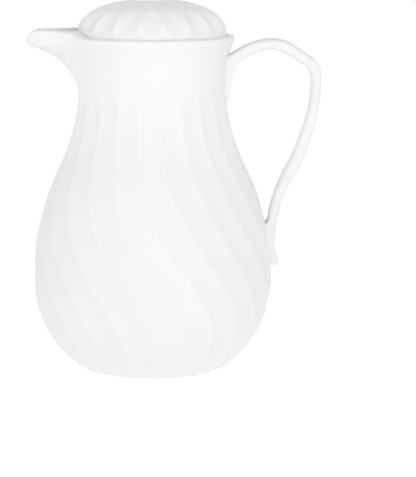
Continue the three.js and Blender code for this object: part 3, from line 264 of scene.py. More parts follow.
# %% [markdown]
# The jug's plastics differ only in tone, gloss and grain, so one function makes them all. The shell and the
# lid are satin, the liner is smoother, and the base has a coarser grain.

# %% Moulded plastic
TONE_DRIFT = 16
GLOSS_DRIFT = 55
GRAIN_FLATNESS = 12
GRAIN_STRENGTH = 0.35
PLASTIC_IOR = 1.49


def new_finish(name):
    material = bpy.data.materials.new(name)
    material.use_nodes = True
    return material, material.node_tree.nodes["Principled BSDF"], material.node_tree.links


def moulded_plastic(name, dark, light, gloss, grain):
    """Plastic between two tones, with roughness between the two values of gloss and a grain in metres."""
    material, shader, links = new_finish(name)
    tone = between_tones(material, noise(material, TONE_DRIFT, 3), dark, light)
    links.new(tone, shader.inputs["Base Color"])
    links.new(into_range(material, noise(material, GLOSS_DRIFT), *gloss), shader.inputs["Roughness"])
    bumps = raised(material, noise(material, 1 / grain), grain / GRAIN_FLATNESS, GRAIN_STRENGTH)
    links.new(bumps, shader.inputs["Normal"])
    shader.inputs["IOR"].default_value = PLASTIC_IOR
    return material


shell_finish = moulded_plastic(
    "satin_white_shell", (0.885, 0.885, 0.878), (0.915, 0.915, 0.908), (0.5, 0.6), 0.0006)
lid_finish = moulded_plastic(
    "satin_white_lid", (0.89, 0.89, 0.882), (0.915, 0.915, 0.907), (0.47, 0.57), 0.0006)
liner_finish = moulded_plastic(
    "smooth_liner", (0.84, 0.84, 0.822), (0.87, 0.87, 0.852), (0.2, 0.3), 0.0011)
base_finish = moulded_plastic(
    "grained_base", (0.83, 0.83, 0.815), (0.87, 0.87, 0.855), (0.46, 0.6), 0.0009)
stopper_finish = moulded_plastic(
    "stopper_plastic", (0.83, 0.83, 0.81), (0.865, 0.865, 0.846), (0.34, 0.46), 0.0007)
print("plastics made")

# %% [markdown]
# The foam between the two walls is a mass of small cells, which Voronoi texture draws well. Rubber is dull
# and a little cloudy, and the steel of the stem, clip and screws has fine lines from being drawn and turned.

# %% Foam, rubber and steel
FOAM_CELLS = 700
FOAM_RELIEF = 0.0006
RUBBER_CLOUDS = 45
RUBBER_GRAIN = 1800
RUBBER_RELIEF = 0.00005
STEEL_LINES = 900
STEEL_STRETCH = (1, 1, 0.06)
STEEL_RELIEF = 0.00003

foam_finish, shader, links = new_finish("cellular_foam")
cells = foam_finish.node_tree.nodes.new("ShaderNodeTexVoronoi")
cells.inputs["Scale"].default_value = FOAM_CELLS
cell_place = foam_finish.node_tree.nodes.new("ShaderNodeTexCoord")
links.new(cell_place.outputs["Object"], cells.inputs["Vector"])
tones = between_tones(foam_finish, cells.outputs["Distance"], (0.76, 0.69, 0.5), (0.88, 0.83, 0.66))
links.new(tones, shader.inputs["Base Color"])
links.new(raised(foam_finish, cells.outputs["Distance"], FOAM_RELIEF, 0.8), shader.inputs["Normal"])
links.new(into_range(foam_finish, noise(foam_finish, 300), 0.85, 1.0), shader.inputs["Roughness"])

rubber_finish, shader, links = new_finish("cloudy_rubber")
clouds = noise(rubber_finish, RUBBER_CLOUDS, 4)
cloud = between_tones(rubber_finish, clouds, (0.69, 0.69, 0.67), (0.77, 0.77, 0.75))
links.new(cloud, shader.inputs["Base Color"])
links.new(into_range(rubber_finish, noise(rubber_finish, 260), 0.62, 0.78), shader.inputs["Roughness"])
grain = raised(rubber_finish, noise(rubber_finish, RUBBER_GRAIN), RUBBER_RELIEF, 0.4)
links.new(grain, shader.inputs["Normal"])

steel_finish, shader, links = new_finish("drawn_steel")
lines = noise(steel_finish, STEEL_LINES, 3, STEEL_STRETCH)
greys = between_tones(steel_finish, lines, (0.58, 0.59, 0.61), (0.72, 0.73, 0.75))
links.new(greys, shader.inputs["Base Color"])
links.new(into_range(steel_finish, lines, 0.22, 0.38), shader.inputs["Roughness"])
links.new(raised(steel_finish, lines, STEEL_RELIEF, 0.3), shader.inputs["Normal"])
shader.inputs["Metallic"].default_value = 1
print("foam, rubber and steel made")

# %% [markdown]
# ## Turned shapes
# Nearly everything on the jug is round, so most pieces start as a line of places in the plane of X and Z,
# each a radius and a height in millimetres, that spin turns about the vertical axis. A line that closes on
# itself makes a wall, and one that ends on the axis makes a solid.

# %% Turning
ROUND_COLUMNS = 96
SMALL_COLUMNS = 48
MERGE_DISTANCE = MM / 1000


def draw_line(bm, places, closed):
    verts = [bm.verts.new((radius * MM, 0, height * MM)) for radius, height in places]
    following = verts[1:] + verts[:1] if closed else verts[1:]
    edges = [bm.edges.new(pair) for pair in zip(verts, following)]
    return verts, edges


def spin_round(bm, geometry, columns):
    bmesh.ops.spin(
        bm, geom=geometry, cent=(0, 0, 0), axis=(0, 0, 1), dvec=(0, 0, 0),
        angle=TURN, steps=columns, use_merge=True, use_duplicate=False)


def turned(places, columns):
    """A bmesh of a line turned about the Z axis."""
    bm = bmesh.new()
    closed = places[0][0] > 0
    verts, edges = draw_line(bm, places, closed)
    spin_round(bm, verts + edges, columns)
    bmesh.ops.remove_doubles(bm, verts=bm.verts, dist=MERGE_DISTANCE)
    return bm


def column_of(vert, columns):
    return round(math.atan2(vert.co.y, vert.co.x) / TURN * columns) % columns


def round_axis(radius, angle, height):
    """A point in metres, from a radius, an angle and a height in millimetres."""
    return Vector((radius * math.cos(angle), radius * math.sin(angle), height)) * MM


print("round pieces have", ROUND_COLUMNS, "columns, small ones", SMALL_COLUMNS)

# %% [markdown]
# Every shape ends the same way: its normals point outwards, its faces are shaded smooth except at sharp
# edges, and it gets its finish, the body it rides on and the solids it stands for.


# %% Finished pieces
def finished(name, bm, body, nodes, finish, crease=35):
    """Makes the bmesh a piece that rides on a body, stands for CAD nodes and takes a finish."""
    bmesh.ops.recalc_face_normals(bm, faces=bm.faces)
    mesh = bpy.data.meshes.new(name)
    bm.to_mesh(mesh)
    bm.free()
    mesh.shade_smooth()
    mesh.set_sharp_from_angle(angle=math.radians(crease))
    mesh.materials.append(finish)
    piece = bpy.data.objects.new(name, mesh)
    bpy.context.scene.collection.objects.link(piece)
    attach(piece, body)
    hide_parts(*nodes)
    print(name, len(mesh.polygons), "faces")
    return piece


# %% [markdown]
# ## Outline of the shell
# The outline is four smooth curves: from the base to the belly, up to the neck, out to the collar's lip,
# and along the spout's underside to its nose. A Bezier curve needs only its two ends and two tangent
# points, and gives a point and a direction anywhere, so a wall's inner face lies a set distance beside it.

# %% Curves
HALVINGS = 40


def mix(a, b, share):
    return a + (b - a) * share


def smooth(value, low, high):
    share = min(max((value - low) / (high - low), 0), 1)
    return share * share * (3 - 2 * share)


def curve(*places):
    return [Vector(place) for place in places]


def beside(ends, share, distance=0.0):
    """The place on a curve of four points, or that far to its left."""
    a, b, c, d = ends
    rest = 1 - share
    place = a * rest ** 3 + b * 3 * share * rest ** 2 + c * 3 * share ** 2 * rest + d * share ** 3
    along = (b - a) * rest ** 2 + (c - b) * 2 * share * rest + (d - c) * share ** 2
    along.normalize()
    return Vector((place.x - along.y * distance, place.y + along.x * distance))


def at_height(ends, height, distance=0.0):
    """The place on a rising curve, or beside it, at that height."""
    low, high = 0.0, 1.0
    for _ in range(HALVINGS):
        middle = (low + high) / 2
        if beside(ends, middle, distance).y < height:
            low = middle
        else:
            high = middle
    return Vector((beside(ends, low, distance).x, height))


print("a quarter along, smooth is at", smooth(0.25, 0, 1))

# %% Outline of the wall
BASE_RADIUS = 46
BELLY_RADIUS = 83.8
BELLY_HEIGHT = 63
NECK_RADIUS = 51.6
NECK_HEIGHT = 205
LIP_RADIUS = 57.7
LIP_HEIGHT = 235

lower_curve = curve((BASE_RADIUS, 0), (54, 0), (BELLY_RADIUS, 25), (BELLY_RADIUS, BELLY_HEIGHT))
upper_curve = curve(
    (BELLY_RADIUS, BELLY_HEIGHT), (BELLY_RADIUS, 140), (NECK_RADIUS, 139), (NECK_RADIUS, NECK_HEIGHT))
collar_curve = curve((NECK_RADIUS, NECK_HEIGHT), (NECK_RADIUS, 224), (56.8, 227), (LIP_RADIUS, LIP_HEIGHT))


def wall_radius(height):
    if height < BELLY_HEIGHT:
        return at_height(lower_curve, height).x
    return at_height(upper_curve if height < NECK_HEIGHT else collar_curve, height).x


print("wall at the neck", round(wall_radius(NECK_HEIGHT), 1), "mm from the axis")

# %% [markdown]
# ## Spout
# The spout grows out of the collar: round the jug, each level slides from its plain place on the collar to
# a place on the spout's own outline. How far depends on the angle from the middle of the spout, by a bell
# with steep sides, which gives a beak with nearly upright walls.

# %% Spout outline
SPOUT_REACH = 88
SPOUT_NOSE = 85.2
SPOUT_NOSE_HEIGHT = 226.6
SPOUT_NOSE_SHARE = 0.72
SPOUT_KEEL = 3.1
SPOUT_KEEL_START = 195
SPOUT_HALF_ANGLE = math.radians(11.4)
SPOUT_SHARPNESS = 3.1
SPOUT_SECTOR = math.radians(37.5)
SPOUT_RISE = 3.8
SPOUT_TIP_RISE = 2.9
TIP_ROUND_LENGTH = 6
TIP_ROUND_DROP = 4.6
TIP_ROUND_POWER = 1.5
SPOUT_FALL_START = 1.8
SPOUT_RISE_START = 0.5
SPOUT_WALL = 2.6

keel_radius = NECK_RADIUS + SPOUT_KEEL
underside_curve = curve(
    (keel_radius, NECK_HEIGHT), (58.7, 213), (68.1, 225.1), (SPOUT_NOSE, SPOUT_NOSE_HEIGHT))
nose_curve = curve(
    (SPOUT_NOSE, SPOUT_NOSE_HEIGHT), (87.6, SPOUT_NOSE_HEIGHT), (SPOUT_REACH, 229.1),
    (SPOUT_REACH, LIP_HEIGHT))
inner_half_angle = SPOUT_HALF_ANGLE - SPOUT_WALL / mix(LIP_RADIUS, SPOUT_REACH, 0.5)


def spout_place(share, distance=0.0):
    if share <= SPOUT_NOSE_SHARE:
        return beside(underside_curve, share / SPOUT_NOSE_SHARE, distance)
    return beside(nose_curve, (share - SPOUT_NOSE_SHARE) / (1 - SPOUT_NOSE_SHARE), distance)


print("spout reaches", SPOUT_REACH - LIP_RADIUS, "mm past the lip")


# %% Pull, lift and round of the spout
def off_spout(angle):
    """The angle from the middle of the spout, which points to -X."""
    return abs(math.atan2(-math.sin(angle), -math.cos(angle)))


def spout_pull(angle, half_angle):
    return 1 / (1 + (off_spout(angle) / half_angle) ** SPOUT_SHARPNESS)


def spout_lift(angle):
    """How far the spout's side walls stand above the lip."""
    off = off_spout(angle)
    side = 1 - smooth(off, SPOUT_FALL_START * SPOUT_HALF_ANGLE, SPOUT_SECTOR)
    tip = 1 - smooth(off, 0, SPOUT_HALF_ANGLE)
    return side * mix(SPOUT_RISE, SPOUT_TIP_RISE, tip)


def tip_drop(pull):
    """How far the top of the spout is rounded down, a given share of the way out to the tip."""
    short_of_tip = (SPOUT_REACH - LIP_RADIUS) * (1 - pull)
    share = max(0, 1 - short_of_tip / TIP_ROUND_LENGTH)
    return TIP_ROUND_DROP * share ** TIP_ROUND_POWER


print("its walls stand", round(spout_lift(math.pi - SPOUT_HALF_ANGLE), 1), "mm above the lip")

# %% [markdown]
# ## Flutes
# Twenty-two shallow hollows run down the body between crisp ridges. They hang straight below the neck, swing
# round by fifty degrees over the belly and come to the base nearly straight, so the twist follows an S-curve.
# Each has a rounded top. The columns of the mesh crowd towards the ridges, where the light turns sharply.

# %% Flutes
FLUTE_COUNT = 22
FLUTE_COLUMNS = 16
FLUTE_DEPTH = 1.3
FLUTE_NECK_DEPTH = 0.9
FLUTE_TOP = 198
FLUTE_ARCH = 7
FLUTE_FADE = 7
FLUTE_TWIST = math.radians(50)
FLUTE_TWIST_HEIGHT = 80
FLUTE_TWIST_SPREAD = 26
FLUTE_PHASE = math.radians(5.3)
FRONT = -math.pi / 2
RIDGE_ROUND = 0.05
EVEN_COLUMNS_FROM = NECK_HEIGHT + 8


def hollow_share(across):
    """How much of its depth a hollow has, across from -1 to 1 between two slightly rounded ridges."""
    from_ridge = 1 - abs(across)
    from_ridge = math.sqrt(from_ridge ** 2 + RIDGE_ROUND ** 2) - RIDGE_ROUND
    return from_ridge * (2 - from_ridge)


def arched_top(across, top, arch):
    """The height where a hollow ends, which is highest in its middle."""
    return top - arch * (1 - math.sqrt(max(0, 1 - across * across)))


def crowded(step, columns, even_share):
    """How far across its hollow a column lies, crowded towards the ridges unless even_share is 1."""
    even = 2 * step / columns - 1
    return mix(math.sin(even * math.pi / 2), even, even_share)


def flute_depth(across, height):
    depth = mix(FLUTE_DEPTH, FLUTE_NECK_DEPTH, smooth(height, BELLY_HEIGHT, FLUTE_TOP))
    below_top = arched_top(across, FLUTE_TOP, FLUTE_ARCH) - height
    return depth * hollow_share(across) * smooth(below_top, 0, FLUTE_FADE)


def flute_place(column, height):
    """The angle of a column at a height, and how far it is across its flute."""
    flute, step = divmod(column, FLUTE_COLUMNS)
    across = crowded(step, FLUTE_COLUMNS, smooth(height, FLUTE_TOP, EVEN_COLUMNS_FROM))
    width = TURN / FLUTE_COUNT
    twist = FLUTE_TWIST / (1 + math.exp((height - FLUTE_TWIST_HEIGHT) / FLUTE_TWIST_SPREAD))
    return FRONT + FLUTE_PHASE + (flute + (across + 1) / 2) * width + twist, across


print("flutes", FLUTE_COUNT, "each", round(TURN * BELLY_RADIUS / FLUTE_COUNT, 1), "mm wide at the belly")

# %% [markdown]
# ## Rows of the shell
# A row is one level of the shell's wall: its plain place, its place at the middle of the spout, how narrow
# the spout is there, how much of the spout's lift and of its tip's round it takes, and whether flutes are
# cut into it. The rows go up the outside, over the sloping lip and down the inside.

# %% Outer rows
Row = namedtuple("Row", "plain spout half_angle lift tip_round fluted")


def plain_row(radius, height):
    return Row(Vector((radius, height)), Vector((radius, height)), SPOUT_HALF_ANGLE, 0, 0, False)


def fluted_row(place):
    keel = min(max((place.y - SPOUT_KEEL_START) / (NECK_HEIGHT - SPOUT_KEEL_START), 0), 1)
    stands_out = Vector((place.x + SPOUT_KEEL * keel * keel, place.y))
    return Row(place, stands_out, SPOUT_HALF_ANGLE, 0, 0, True)


def steps(low, high, count):
    return [mix(low, high, i / count) for i in range(count + 1)]


SEAM_GAP = 0.02
SEAM_CHAMFER = 0.04
LOWER_STEPS = 25
UPPER_STEPS = 36
ARCH_STEPS = 22
ARCH_ROWS_FROM = 184
ARCH_ROWS_TO = FLUTE_TOP + 0.5
NECK_ROWS = [201, 203]

seam_low = BELLY_HEIGHT - SEAM_GAP / 2
seam_high = BELLY_HEIGHT + SEAM_GAP / 2
lower_rows = [fluted_row(beside(lower_curve, share)) for share in steps(0, 1, LOWER_STEPS)[:-1]]
lower_rows.append(fluted_row(at_height(lower_curve, seam_low - SEAM_CHAMFER)))
lower_rows.append(fluted_row(at_height(lower_curve, seam_low) - Vector((SEAM_CHAMFER, 0))))

upper_heights = steps(BELLY_HEIGHT, ARCH_ROWS_FROM, UPPER_STEPS)[1:]
upper_heights += steps(ARCH_ROWS_FROM, ARCH_ROWS_TO, ARCH_STEPS)[1:] + NECK_ROWS
upper_rows = [
    fluted_row(at_height(upper_curve, seam_high) - Vector((SEAM_CHAMFER, 0))),
    fluted_row(at_height(upper_curve, seam_high + SEAM_CHAMFER)),
]
upper_rows += [fluted_row(at_height(upper_curve, height)) for height in upper_heights]
print("rows up the outside:", len(lower_rows), "and", len(upper_rows))

# %% [markdown]
# Past the neck the rows climb the collar, turn over the lip, whose flat top slopes outwards to a thin edge,
# and go down the inside, where the spout's half of each row makes the pouring channel.

# %% Collar, lip and channel rows
SHELL_DEPTH = 4.2
COLLAR_STEPS = 18
CHANNEL_FOOT = 214
LIP_FOOT_SHARE = 0.95
LIP = curve(
    (57.65, 234.3), (57.4, 234.75), (56.8, 235), (55.6, 235.25), (54.2, 235.55), (53.2, 235.65),
    (52.7, 235.3))


def collar_row(share, distance, spout_distance, half_angle):
    plain = beside(collar_curve, share * LIP_FOOT_SHARE, distance)
    spout = spout_place(share, spout_distance)
    lift = smooth(share, SPOUT_RISE_START, 1)
    above_nose = (spout_place(share).y - SPOUT_NOSE_HEIGHT) / (LIP_HEIGHT - SPOUT_NOSE_HEIGHT)
    return Row(plain, spout, half_angle, lift, max(0, above_nose), False)


def lip_row(plain, share):
    """A row over the lip, share 0 at its outer edge and 1 at its inner edge. Over the spout it is round."""
    angle = math.pi * share
    inward = (1 - math.cos(angle)) / 2
    spout = Vector((SPOUT_REACH - SPOUT_WALL * inward, LIP_HEIGHT + SPOUT_WALL / 2 * math.sin(angle)))
    return Row(plain, spout, mix(SPOUT_HALF_ANGLE, inner_half_angle, inward), 1, 1, False)


levels = steps(0, 1, COLLAR_STEPS)
upper_rows += [collar_row(share, 0, 0, SPOUT_HALF_ANGLE) for share in levels]
lip_shares = steps(0, 1, len(LIP) + 1)[1:-1]
upper_rows += [lip_row(place, share) for place, share in zip(LIP, lip_shares)]
channel = [collar_row(share, SHELL_DEPTH, SPOUT_WALL, inner_half_angle) for share in levels[::-1]]
upper_rows += [row for row in channel if row.plain.y > CHANNEL_FOOT]
print("rows with collar, lip and channel:", len(upper_rows))

# %% [markdown]
# Inside, the neck has a ledge that carries the liner, and the two mouldings meet at the belly in a tongue
# and a step. The inner face follows the outline at the depth of the wall.

# %% Inner rows
NECK_INSIDE = NECK_RADIUS - SHELL_DEPTH
LEDGE_RADIUS = 44.5
LEDGE_TOP = 209
LEDGE_BOTTOM = 206
TONGUE_TOP = 68
TONGUE_WALL = 1.3
BASE_OPENING = 41.8
BASE_LEDGE_RADIUS = 38
BASE_LEDGE_TOP = 5.2
BASE_LEDGE_BOTTOM = 3
BASE_EDGE = 0.4
CHANNEL_FLOOR = 213
INSIDE_STEPS = 16
CLEAR_OF_STEP = 1
CLEAR_OF_LEDGE = 3

inside = [beside(upper_curve, share, SHELL_DEPTH) for share in steps(1, 0, INSIDE_STEPS)]
inside += [beside(lower_curve, share, SHELL_DEPTH) for share in steps(1, 0, INSIDE_STEPS)[1:]]
tongue_radius = BELLY_RADIUS - SHELL_DEPTH + TONGUE_WALL
step_radius = tongue_radius + SEAM_GAP
step_top = TONGUE_TOP + SEAM_GAP

upper_rows += [plain_row(*place) for place in (
    (NECK_INSIDE, CHANNEL_FLOOR), (NECK_INSIDE, LEDGE_TOP), (LEDGE_RADIUS, LEDGE_TOP),
    (LEDGE_RADIUS, LEDGE_BOTTOM), (NECK_INSIDE, LEDGE_BOTTOM))]
upper_rows += [
    plain_row(*place) for place in inside
    if step_top + CLEAR_OF_STEP < place.y < LEDGE_BOTTOM - CLEAR_OF_LEDGE]
upper_rows += [plain_row(*place) for place in (
    at_height(upper_curve, step_top, SHELL_DEPTH), (step_radius, step_top), (step_radius, seam_high))]

lower_rows += [plain_row(*place) for place in (
    (tongue_radius, seam_low), (tongue_radius, TONGUE_TOP), (tongue_radius - TONGUE_WALL, TONGUE_TOP))]
lower_rows += [
    plain_row(*place) for place in inside if BASE_LEDGE_TOP + CLEAR_OF_STEP < place.y < BELLY_HEIGHT]
lower_rows += [plain_row(*place) for place in (
    at_height(lower_curve, BASE_LEDGE_TOP, SHELL_DEPTH), (BASE_LEDGE_RADIUS, BASE_LEDGE_TOP),
    (BASE_LEDGE_RADIUS, BASE_LEDGE_BOTTOM), (BASE_OPENING, BASE_LEDGE_BOTTOM),
    (BASE_OPENING, BASE_EDGE), (BASE_OPENING + BASE_EDGE, 0))]
print("rows in all:", len(lower_rows), "and", len(upper_rows))

# %% [markdown]
# ## The two mouldings of the shell
# Each is its rows turned round the axis. A layer on the vertices remembers the row of each, and one pass
# over the vertices then turns the columns along the flutes, cuts the hollows and pulls out the spout.


# %% Shell
def shell_of(rows):
    bm = bmesh.new()
    row_number = bm.verts.layers.int.new("row")
    verts, edges = draw_line(bm, [row.plain for row in rows], True)
    for number, vert in enumerate(verts):
        vert[row_number] = number
    columns = FLUTE_COUNT * FLUTE_COLUMNS
    spin_round(bm, verts + edges, columns)
    for vert in bm.verts:
        row = rows[vert[row_number]]
        angle, across = flute_place(column_of(vert, columns), row.plain.y)
        pull = spout_pull(angle, row.half_angle)
        radius, height = row.plain.lerp(row.spout, pull)
        height += row.lift * spout_lift(angle) - row.tip_round * tip_drop(pull)
        if row.fluted:
            radius -= flute_depth(across, height)
        vert.co = round_axis(radius, angle, height)
    return bm


finished("lower_shell_fine", shell_of(lower_rows), "jug", ["lower_shell"], shell_finish)

# %% [markdown]
# Three ledges inside the collar hold the lid's lugs. Each is a small rectangle turned through part of a
# circle, with both ends filled, and its back is buried in the collar's wall.

# %% Collar ledges and upper shell
BAYONET_COUNT = 3
COLLAR_LEDGE_SWEEP = math.radians(30)
COLLAR_LEDGE_COLUMNS = 12
COLLAR_LEDGE = [(49.3, 230.4), (53.4, 230.4), (53.4, 232.7), (49.3, 232.7)]


def add_sector(bm, places, start, sweep, columns):
    """A closed line turned through part of a circle from a start angle, with its two ends filled."""
    verts, edges = draw_line(bm, places, True)
    bmesh.ops.rotate(bm, verts=verts, cent=(0, 0, 0), matrix=Matrix.Rotation(start, 3, "Z"))
    bmesh.ops.contextual_create(bm, geom=verts)
    end = bmesh.ops.spin(
        bm, geom=edges + verts, cent=(0, 0, 0), axis=(0, 0, 1), dvec=(0, 0, 0),
        angle=sweep, steps=columns, use_merge=False, use_duplicate=False)["geom_last"]
    bmesh.ops.contextual_create(bm, geom=[item for item in end if isinstance(item, bmesh.types.BMVert)])


upper_mesh = shell_of(upper_rows)
for count in range(BAYONET_COUNT):
    start = count * TURN / BAYONET_COUNT - COLLAR_LEDGE_SWEEP / 2
    add_sector(upper_mesh, COLLAR_LEDGE, start, COLLAR_LEDGE_SWEEP, COLLAR_LEDGE_COLUMNS)
finished("upper_shell_fine", upper_mesh, "jug", ["upper_shell"], shell_finish)

# %% [markdown]
# ## Handle
# The handle is a flat strap. Two lines of places, its outer and its inner edge in the jug's plane of
# symmetry, say where each section lies, and a smooth curve through them fills in the rest. A rounded
# rectangle is extruded from section to section. Both ends are buried in the wall of the shell.

# %% Edges of the handle
HANDLE_STEPS = 6
HANDLE_OUTER = [
    (53, 221.4), (56.5, 223.2), (65, 228.2), (73, 231.1), (81, 232.7), (89, 232.4), (97, 229.8), (107, 223.1),
    (114.6, 217.8), (117.8, 212), (118.2, 203), (116.1, 181.2), (106.6, 150.1), (97.3, 133), (91.2, 120.2),
    (88.6, 109.5), (87.3, 103), (86.5, 96), (86, 88), (86.9, 81), (88.7, 77), (87.9, 73.4)]
HANDLE_INNER = [
    (53.9, 190.6), (54.8, 200), (60.2, 215.2), (70, 222.4), (81.2, 225.7), (87.5, 225), (93.8, 222.8),
    (102.4, 217), (109.1, 212), (111.2, 206.3), (111.5, 201), (109.1, 182), (99.4, 153.4), (90.9, 137),
    (85, 122), (82.4, 112), (80.9, 104.5), (76, 98.5), (71, 90), (71, 82), (71, 77.3), (71, 74)]


def through(places, where):
    """A place on the smooth curve through a list of places, where counts places from the first."""
    index = min(int(where), len(places) - 2)
    share = where - index
    before, start, end, after = (
        Vector(places[min(max(i, 0), len(places) - 1)]) for i in range(index - 1, index + 3))
    bend = (before * 2 - start * 5 + end * 4 - after) * share ** 2
    turn = (start * 3 - before - end * 3 + after) * share ** 3
    return (start * 2 + (end - before) * share + bend + turn) / 2


section_count = (len(HANDLE_OUTER) - 1) * HANDLE_STEPS
print("handle has", section_count + 1, "sections")

# %% Handle sections
HANDLE_WIDTH = 20
HANDLE_ROUND = 3
LEAST_ROUND = 0.2
ROUND_FROM = -1
ROUND_TO = 2.5
CORNER_STEPS = 6
BURIED = 3.2


def handle_section(outer, inner):
    """The places of a rounded rectangle between two edges, as points in metres."""
    wall = wall_radius(inner.y)
    inner_round = HANDLE_ROUND * smooth(inner.x - wall, ROUND_FROM, ROUND_TO)
    inner = Vector((max(inner.x, wall - BURIED), inner.y))
    across = outer - inner
    thickness = across.length
    across.normalize()
    points = []
    for corner in range(4):
        out_side = corner in (0, 3)
        radius = max(min(HANDLE_ROUND if out_side else inner_round, thickness / 2), LEAST_ROUND)
        middle = thickness - radius if out_side else radius
        side = (HANDLE_WIDTH / 2 - radius) * (1 if corner < 2 else -1)
        for angle in steps(corner * math.pi / 2, (corner + 1) * math.pi / 2, CORNER_STEPS):
            out = middle + radius * math.cos(angle)
            place = inner + across * out
            points.append(Vector((place.x, side + radius * math.sin(angle), place.y)) * MM)
    return points


print("strap", HANDLE_WIDTH, "mm wide")

# %% Handle
ROOT_BURIED = 2.4

handle_mesh = bmesh.new()
ring_size = 4 * (CORNER_STEPS + 1)
bmesh.ops.create_circle(handle_mesh, segments=ring_size, radius=MM)
first_ring = list(handle_mesh.verts)
ring = first_ring
for number in range(section_count + 1):
    where = number / HANDLE_STEPS
    points = handle_section(through(HANDLE_OUTER, where), through(HANDLE_INNER, where))
    if number == 0:
        for point in points:
            point.x = (wall_radius(point.z / MM) - ROOT_BURIED) * MM
    if number > 0:
        edges = [edge for edge in handle_mesh.edges if all(vert in ring for vert in edge.verts)]
        made = bmesh.ops.extrude_edge_only(handle_mesh, edges=edges)["geom"]
        fresh = {vert for vert in made if isinstance(vert, bmesh.types.BMVert)}
        ring = [
            next(edge.other_vert(vert) for edge in vert.link_edges if edge.other_vert(vert) in fresh)
            for vert in ring]
    for vert, point in zip(ring, points):
        vert.co = point
for end in (first_ring, ring):
    bmesh.ops.contextual_create(handle_mesh, geom=end)
finished("handle_fine", handle_mesh, "jug", ["handle"], shell_finish, 40)

# %% [markdown]
# ## Lid
# The lid is a flattened dome with eighteen scallops round its side, a seat that rests inside the collar and a
# skirt with three lugs. A superellipse gives the dome its broad shoulder. The scallops are cut as the
# flutes were, by moving the columns of a turned shape, and each is nearly straight from its foot to its top.

# %% Dome outline
LID_RADIUS = 52.2
LID_SHOULDER = 237
LID_DOME_RISE = 23.7
LID_SQUARENESS = 2.2
LID_SEAT = 233
SKIRT_RADIUS = 48.6
SKIRT_INSIDE = 46.2
SKIRT_BOTTOM = 227
BUTTON_HOLE = 14.4
CAVITY_RADIUS = SKIRT_INSIDE + 1
CAVITY_RISE = 20.3
SMALL_EDGE = 0.4


def across_dome(share):
    return (1 - share ** LID_SQUARENESS) ** (1 / LID_SQUARENESS)


def dome_radius(height):
    return LID_RADIUS * across_dome((height - LID_SHOULDER) / LID_DOME_RISE)


def dome_place(radius):
    return radius, LID_SHOULDER + LID_DOME_RISE * across_dome(radius / LID_RADIUS)


def cavity_place(radius):
    return radius, LID_SHOULDER + CAVITY_RISE * across_dome(radius / CAVITY_RADIUS)


print("lid crown at", round(dome_place(0)[1], 1), "mm")

# %% Scallops
SCALLOP_COUNT = 18
SCALLOP_COLUMNS = 16
SCALLOP_FLATNESS = 0.85
SCALLOP_FOOT = 237.3
SCALLOP_TOP = 254.4
SCALLOP_ARCH = 3.5
SCALLOP_PHASE = math.radians(10)


def scallop_depth(across, height):
    """How far a scallop lies inside the dome: most of the way to a straight line from foot to top."""
    top = arched_top(across, SCALLOP_TOP, SCALLOP_ARCH)
    if not SCALLOP_FOOT < height < top:
        return 0
    share = (height - SCALLOP_FOOT) / (top - SCALLOP_FOOT)
    straight = mix(dome_radius(SCALLOP_FOOT), dome_radius(top), share)
    return SCALLOP_FLATNESS * hollow_share(across) * (dome_radius(height) - straight)


deepest = max(scallop_depth(0, height) for height in steps(SCALLOP_FOOT, SCALLOP_TOP, SCALLOP_COLUMNS))
print("scallops up to", round(deepest, 1), "mm deep")

# %% Lid rows
CROWN_FOOT = SCALLOP_TOP + 1
ARCH_HEAD = SCALLOP_TOP + 0.5
ARCH_FOOT = 249
CROWN_STEPS = 14
DOME_ARCH_STEPS = 18
DOME_SIDE_STEPS = 10
CAVITY_STEPS = 12
LID_WAIST = 235

crown_radii = steps(BUTTON_HOLE + SMALL_EDGE, dome_radius(CROWN_FOOT), CROWN_STEPS)
crown = [dome_place(radius) for radius in crown_radii]
side_heights = steps(ARCH_HEAD, ARCH_FOOT, DOME_ARCH_STEPS)
side_heights += steps(ARCH_FOOT, LID_SHOULDER, DOME_SIDE_STEPS)[1:]
side = [(dome_radius(height), height) for height in side_heights]
side += [(LID_RADIUS, LID_WAIST), (LID_RADIUS, LID_SEAT + SMALL_EDGE), (LID_RADIUS - SMALL_EDGE, LID_SEAT)]
skirt = [
    (SKIRT_RADIUS, LID_SEAT), (SKIRT_RADIUS, SKIRT_BOTTOM + SMALL_EDGE),
    (SKIRT_RADIUS - SMALL_EDGE, SKIRT_BOTTOM), (SKIRT_INSIDE + SMALL_EDGE, SKIRT_BOTTOM),
    (SKIRT_INSIDE, SKIRT_BOTTOM + SMALL_EDGE)]
cavity = [cavity_place(radius) for radius in steps(SKIRT_INSIDE, BUTTON_HOLE, CAVITY_STEPS)]
hole_edge = [(BUTTON_HOLE, dome_place(BUTTON_HOLE)[1] - SMALL_EDGE)]
lid_rows = crown + side + skirt + cavity + hole_edge
print("lid rows", len(lid_rows))

# %% Lid with its scallops
OUTER_FACE = 0.2

lid_columns = SCALLOP_COUNT * SCALLOP_COLUMNS
lid_mesh = turned(lid_rows, lid_columns)
for vert in lid_mesh.verts:
    radius, height = vert.co.xy.length / MM, vert.co.z / MM
    scallop, step = divmod(column_of(vert, lid_columns), SCALLOP_COLUMNS)
    even_share = smooth(height, SCALLOP_TOP - SCALLOP_ARCH, CROWN_FOOT)
    across = crowded(step, SCALLOP_COLUMNS, even_share)
    angle = FRONT + SCALLOP_PHASE + (scallop + (across + 1) / 2) * TURN / SCALLOP_COUNT
    if height > SCALLOP_FOOT and radius > dome_radius(height) - OUTER_FACE:
        radius -= scallop_depth(across, height)
    vert.co = round_axis(radius, angle, height)
print("lid columns", lid_columns)

# %% Lugs
LUG_TURN = math.radians(30)
LUG_SWEEP = math.radians(24)
LUG_TOP = 230
LUG_ROOT = 47.4
LUG_GAP = 0.6
LUG_COLUMNS = 10

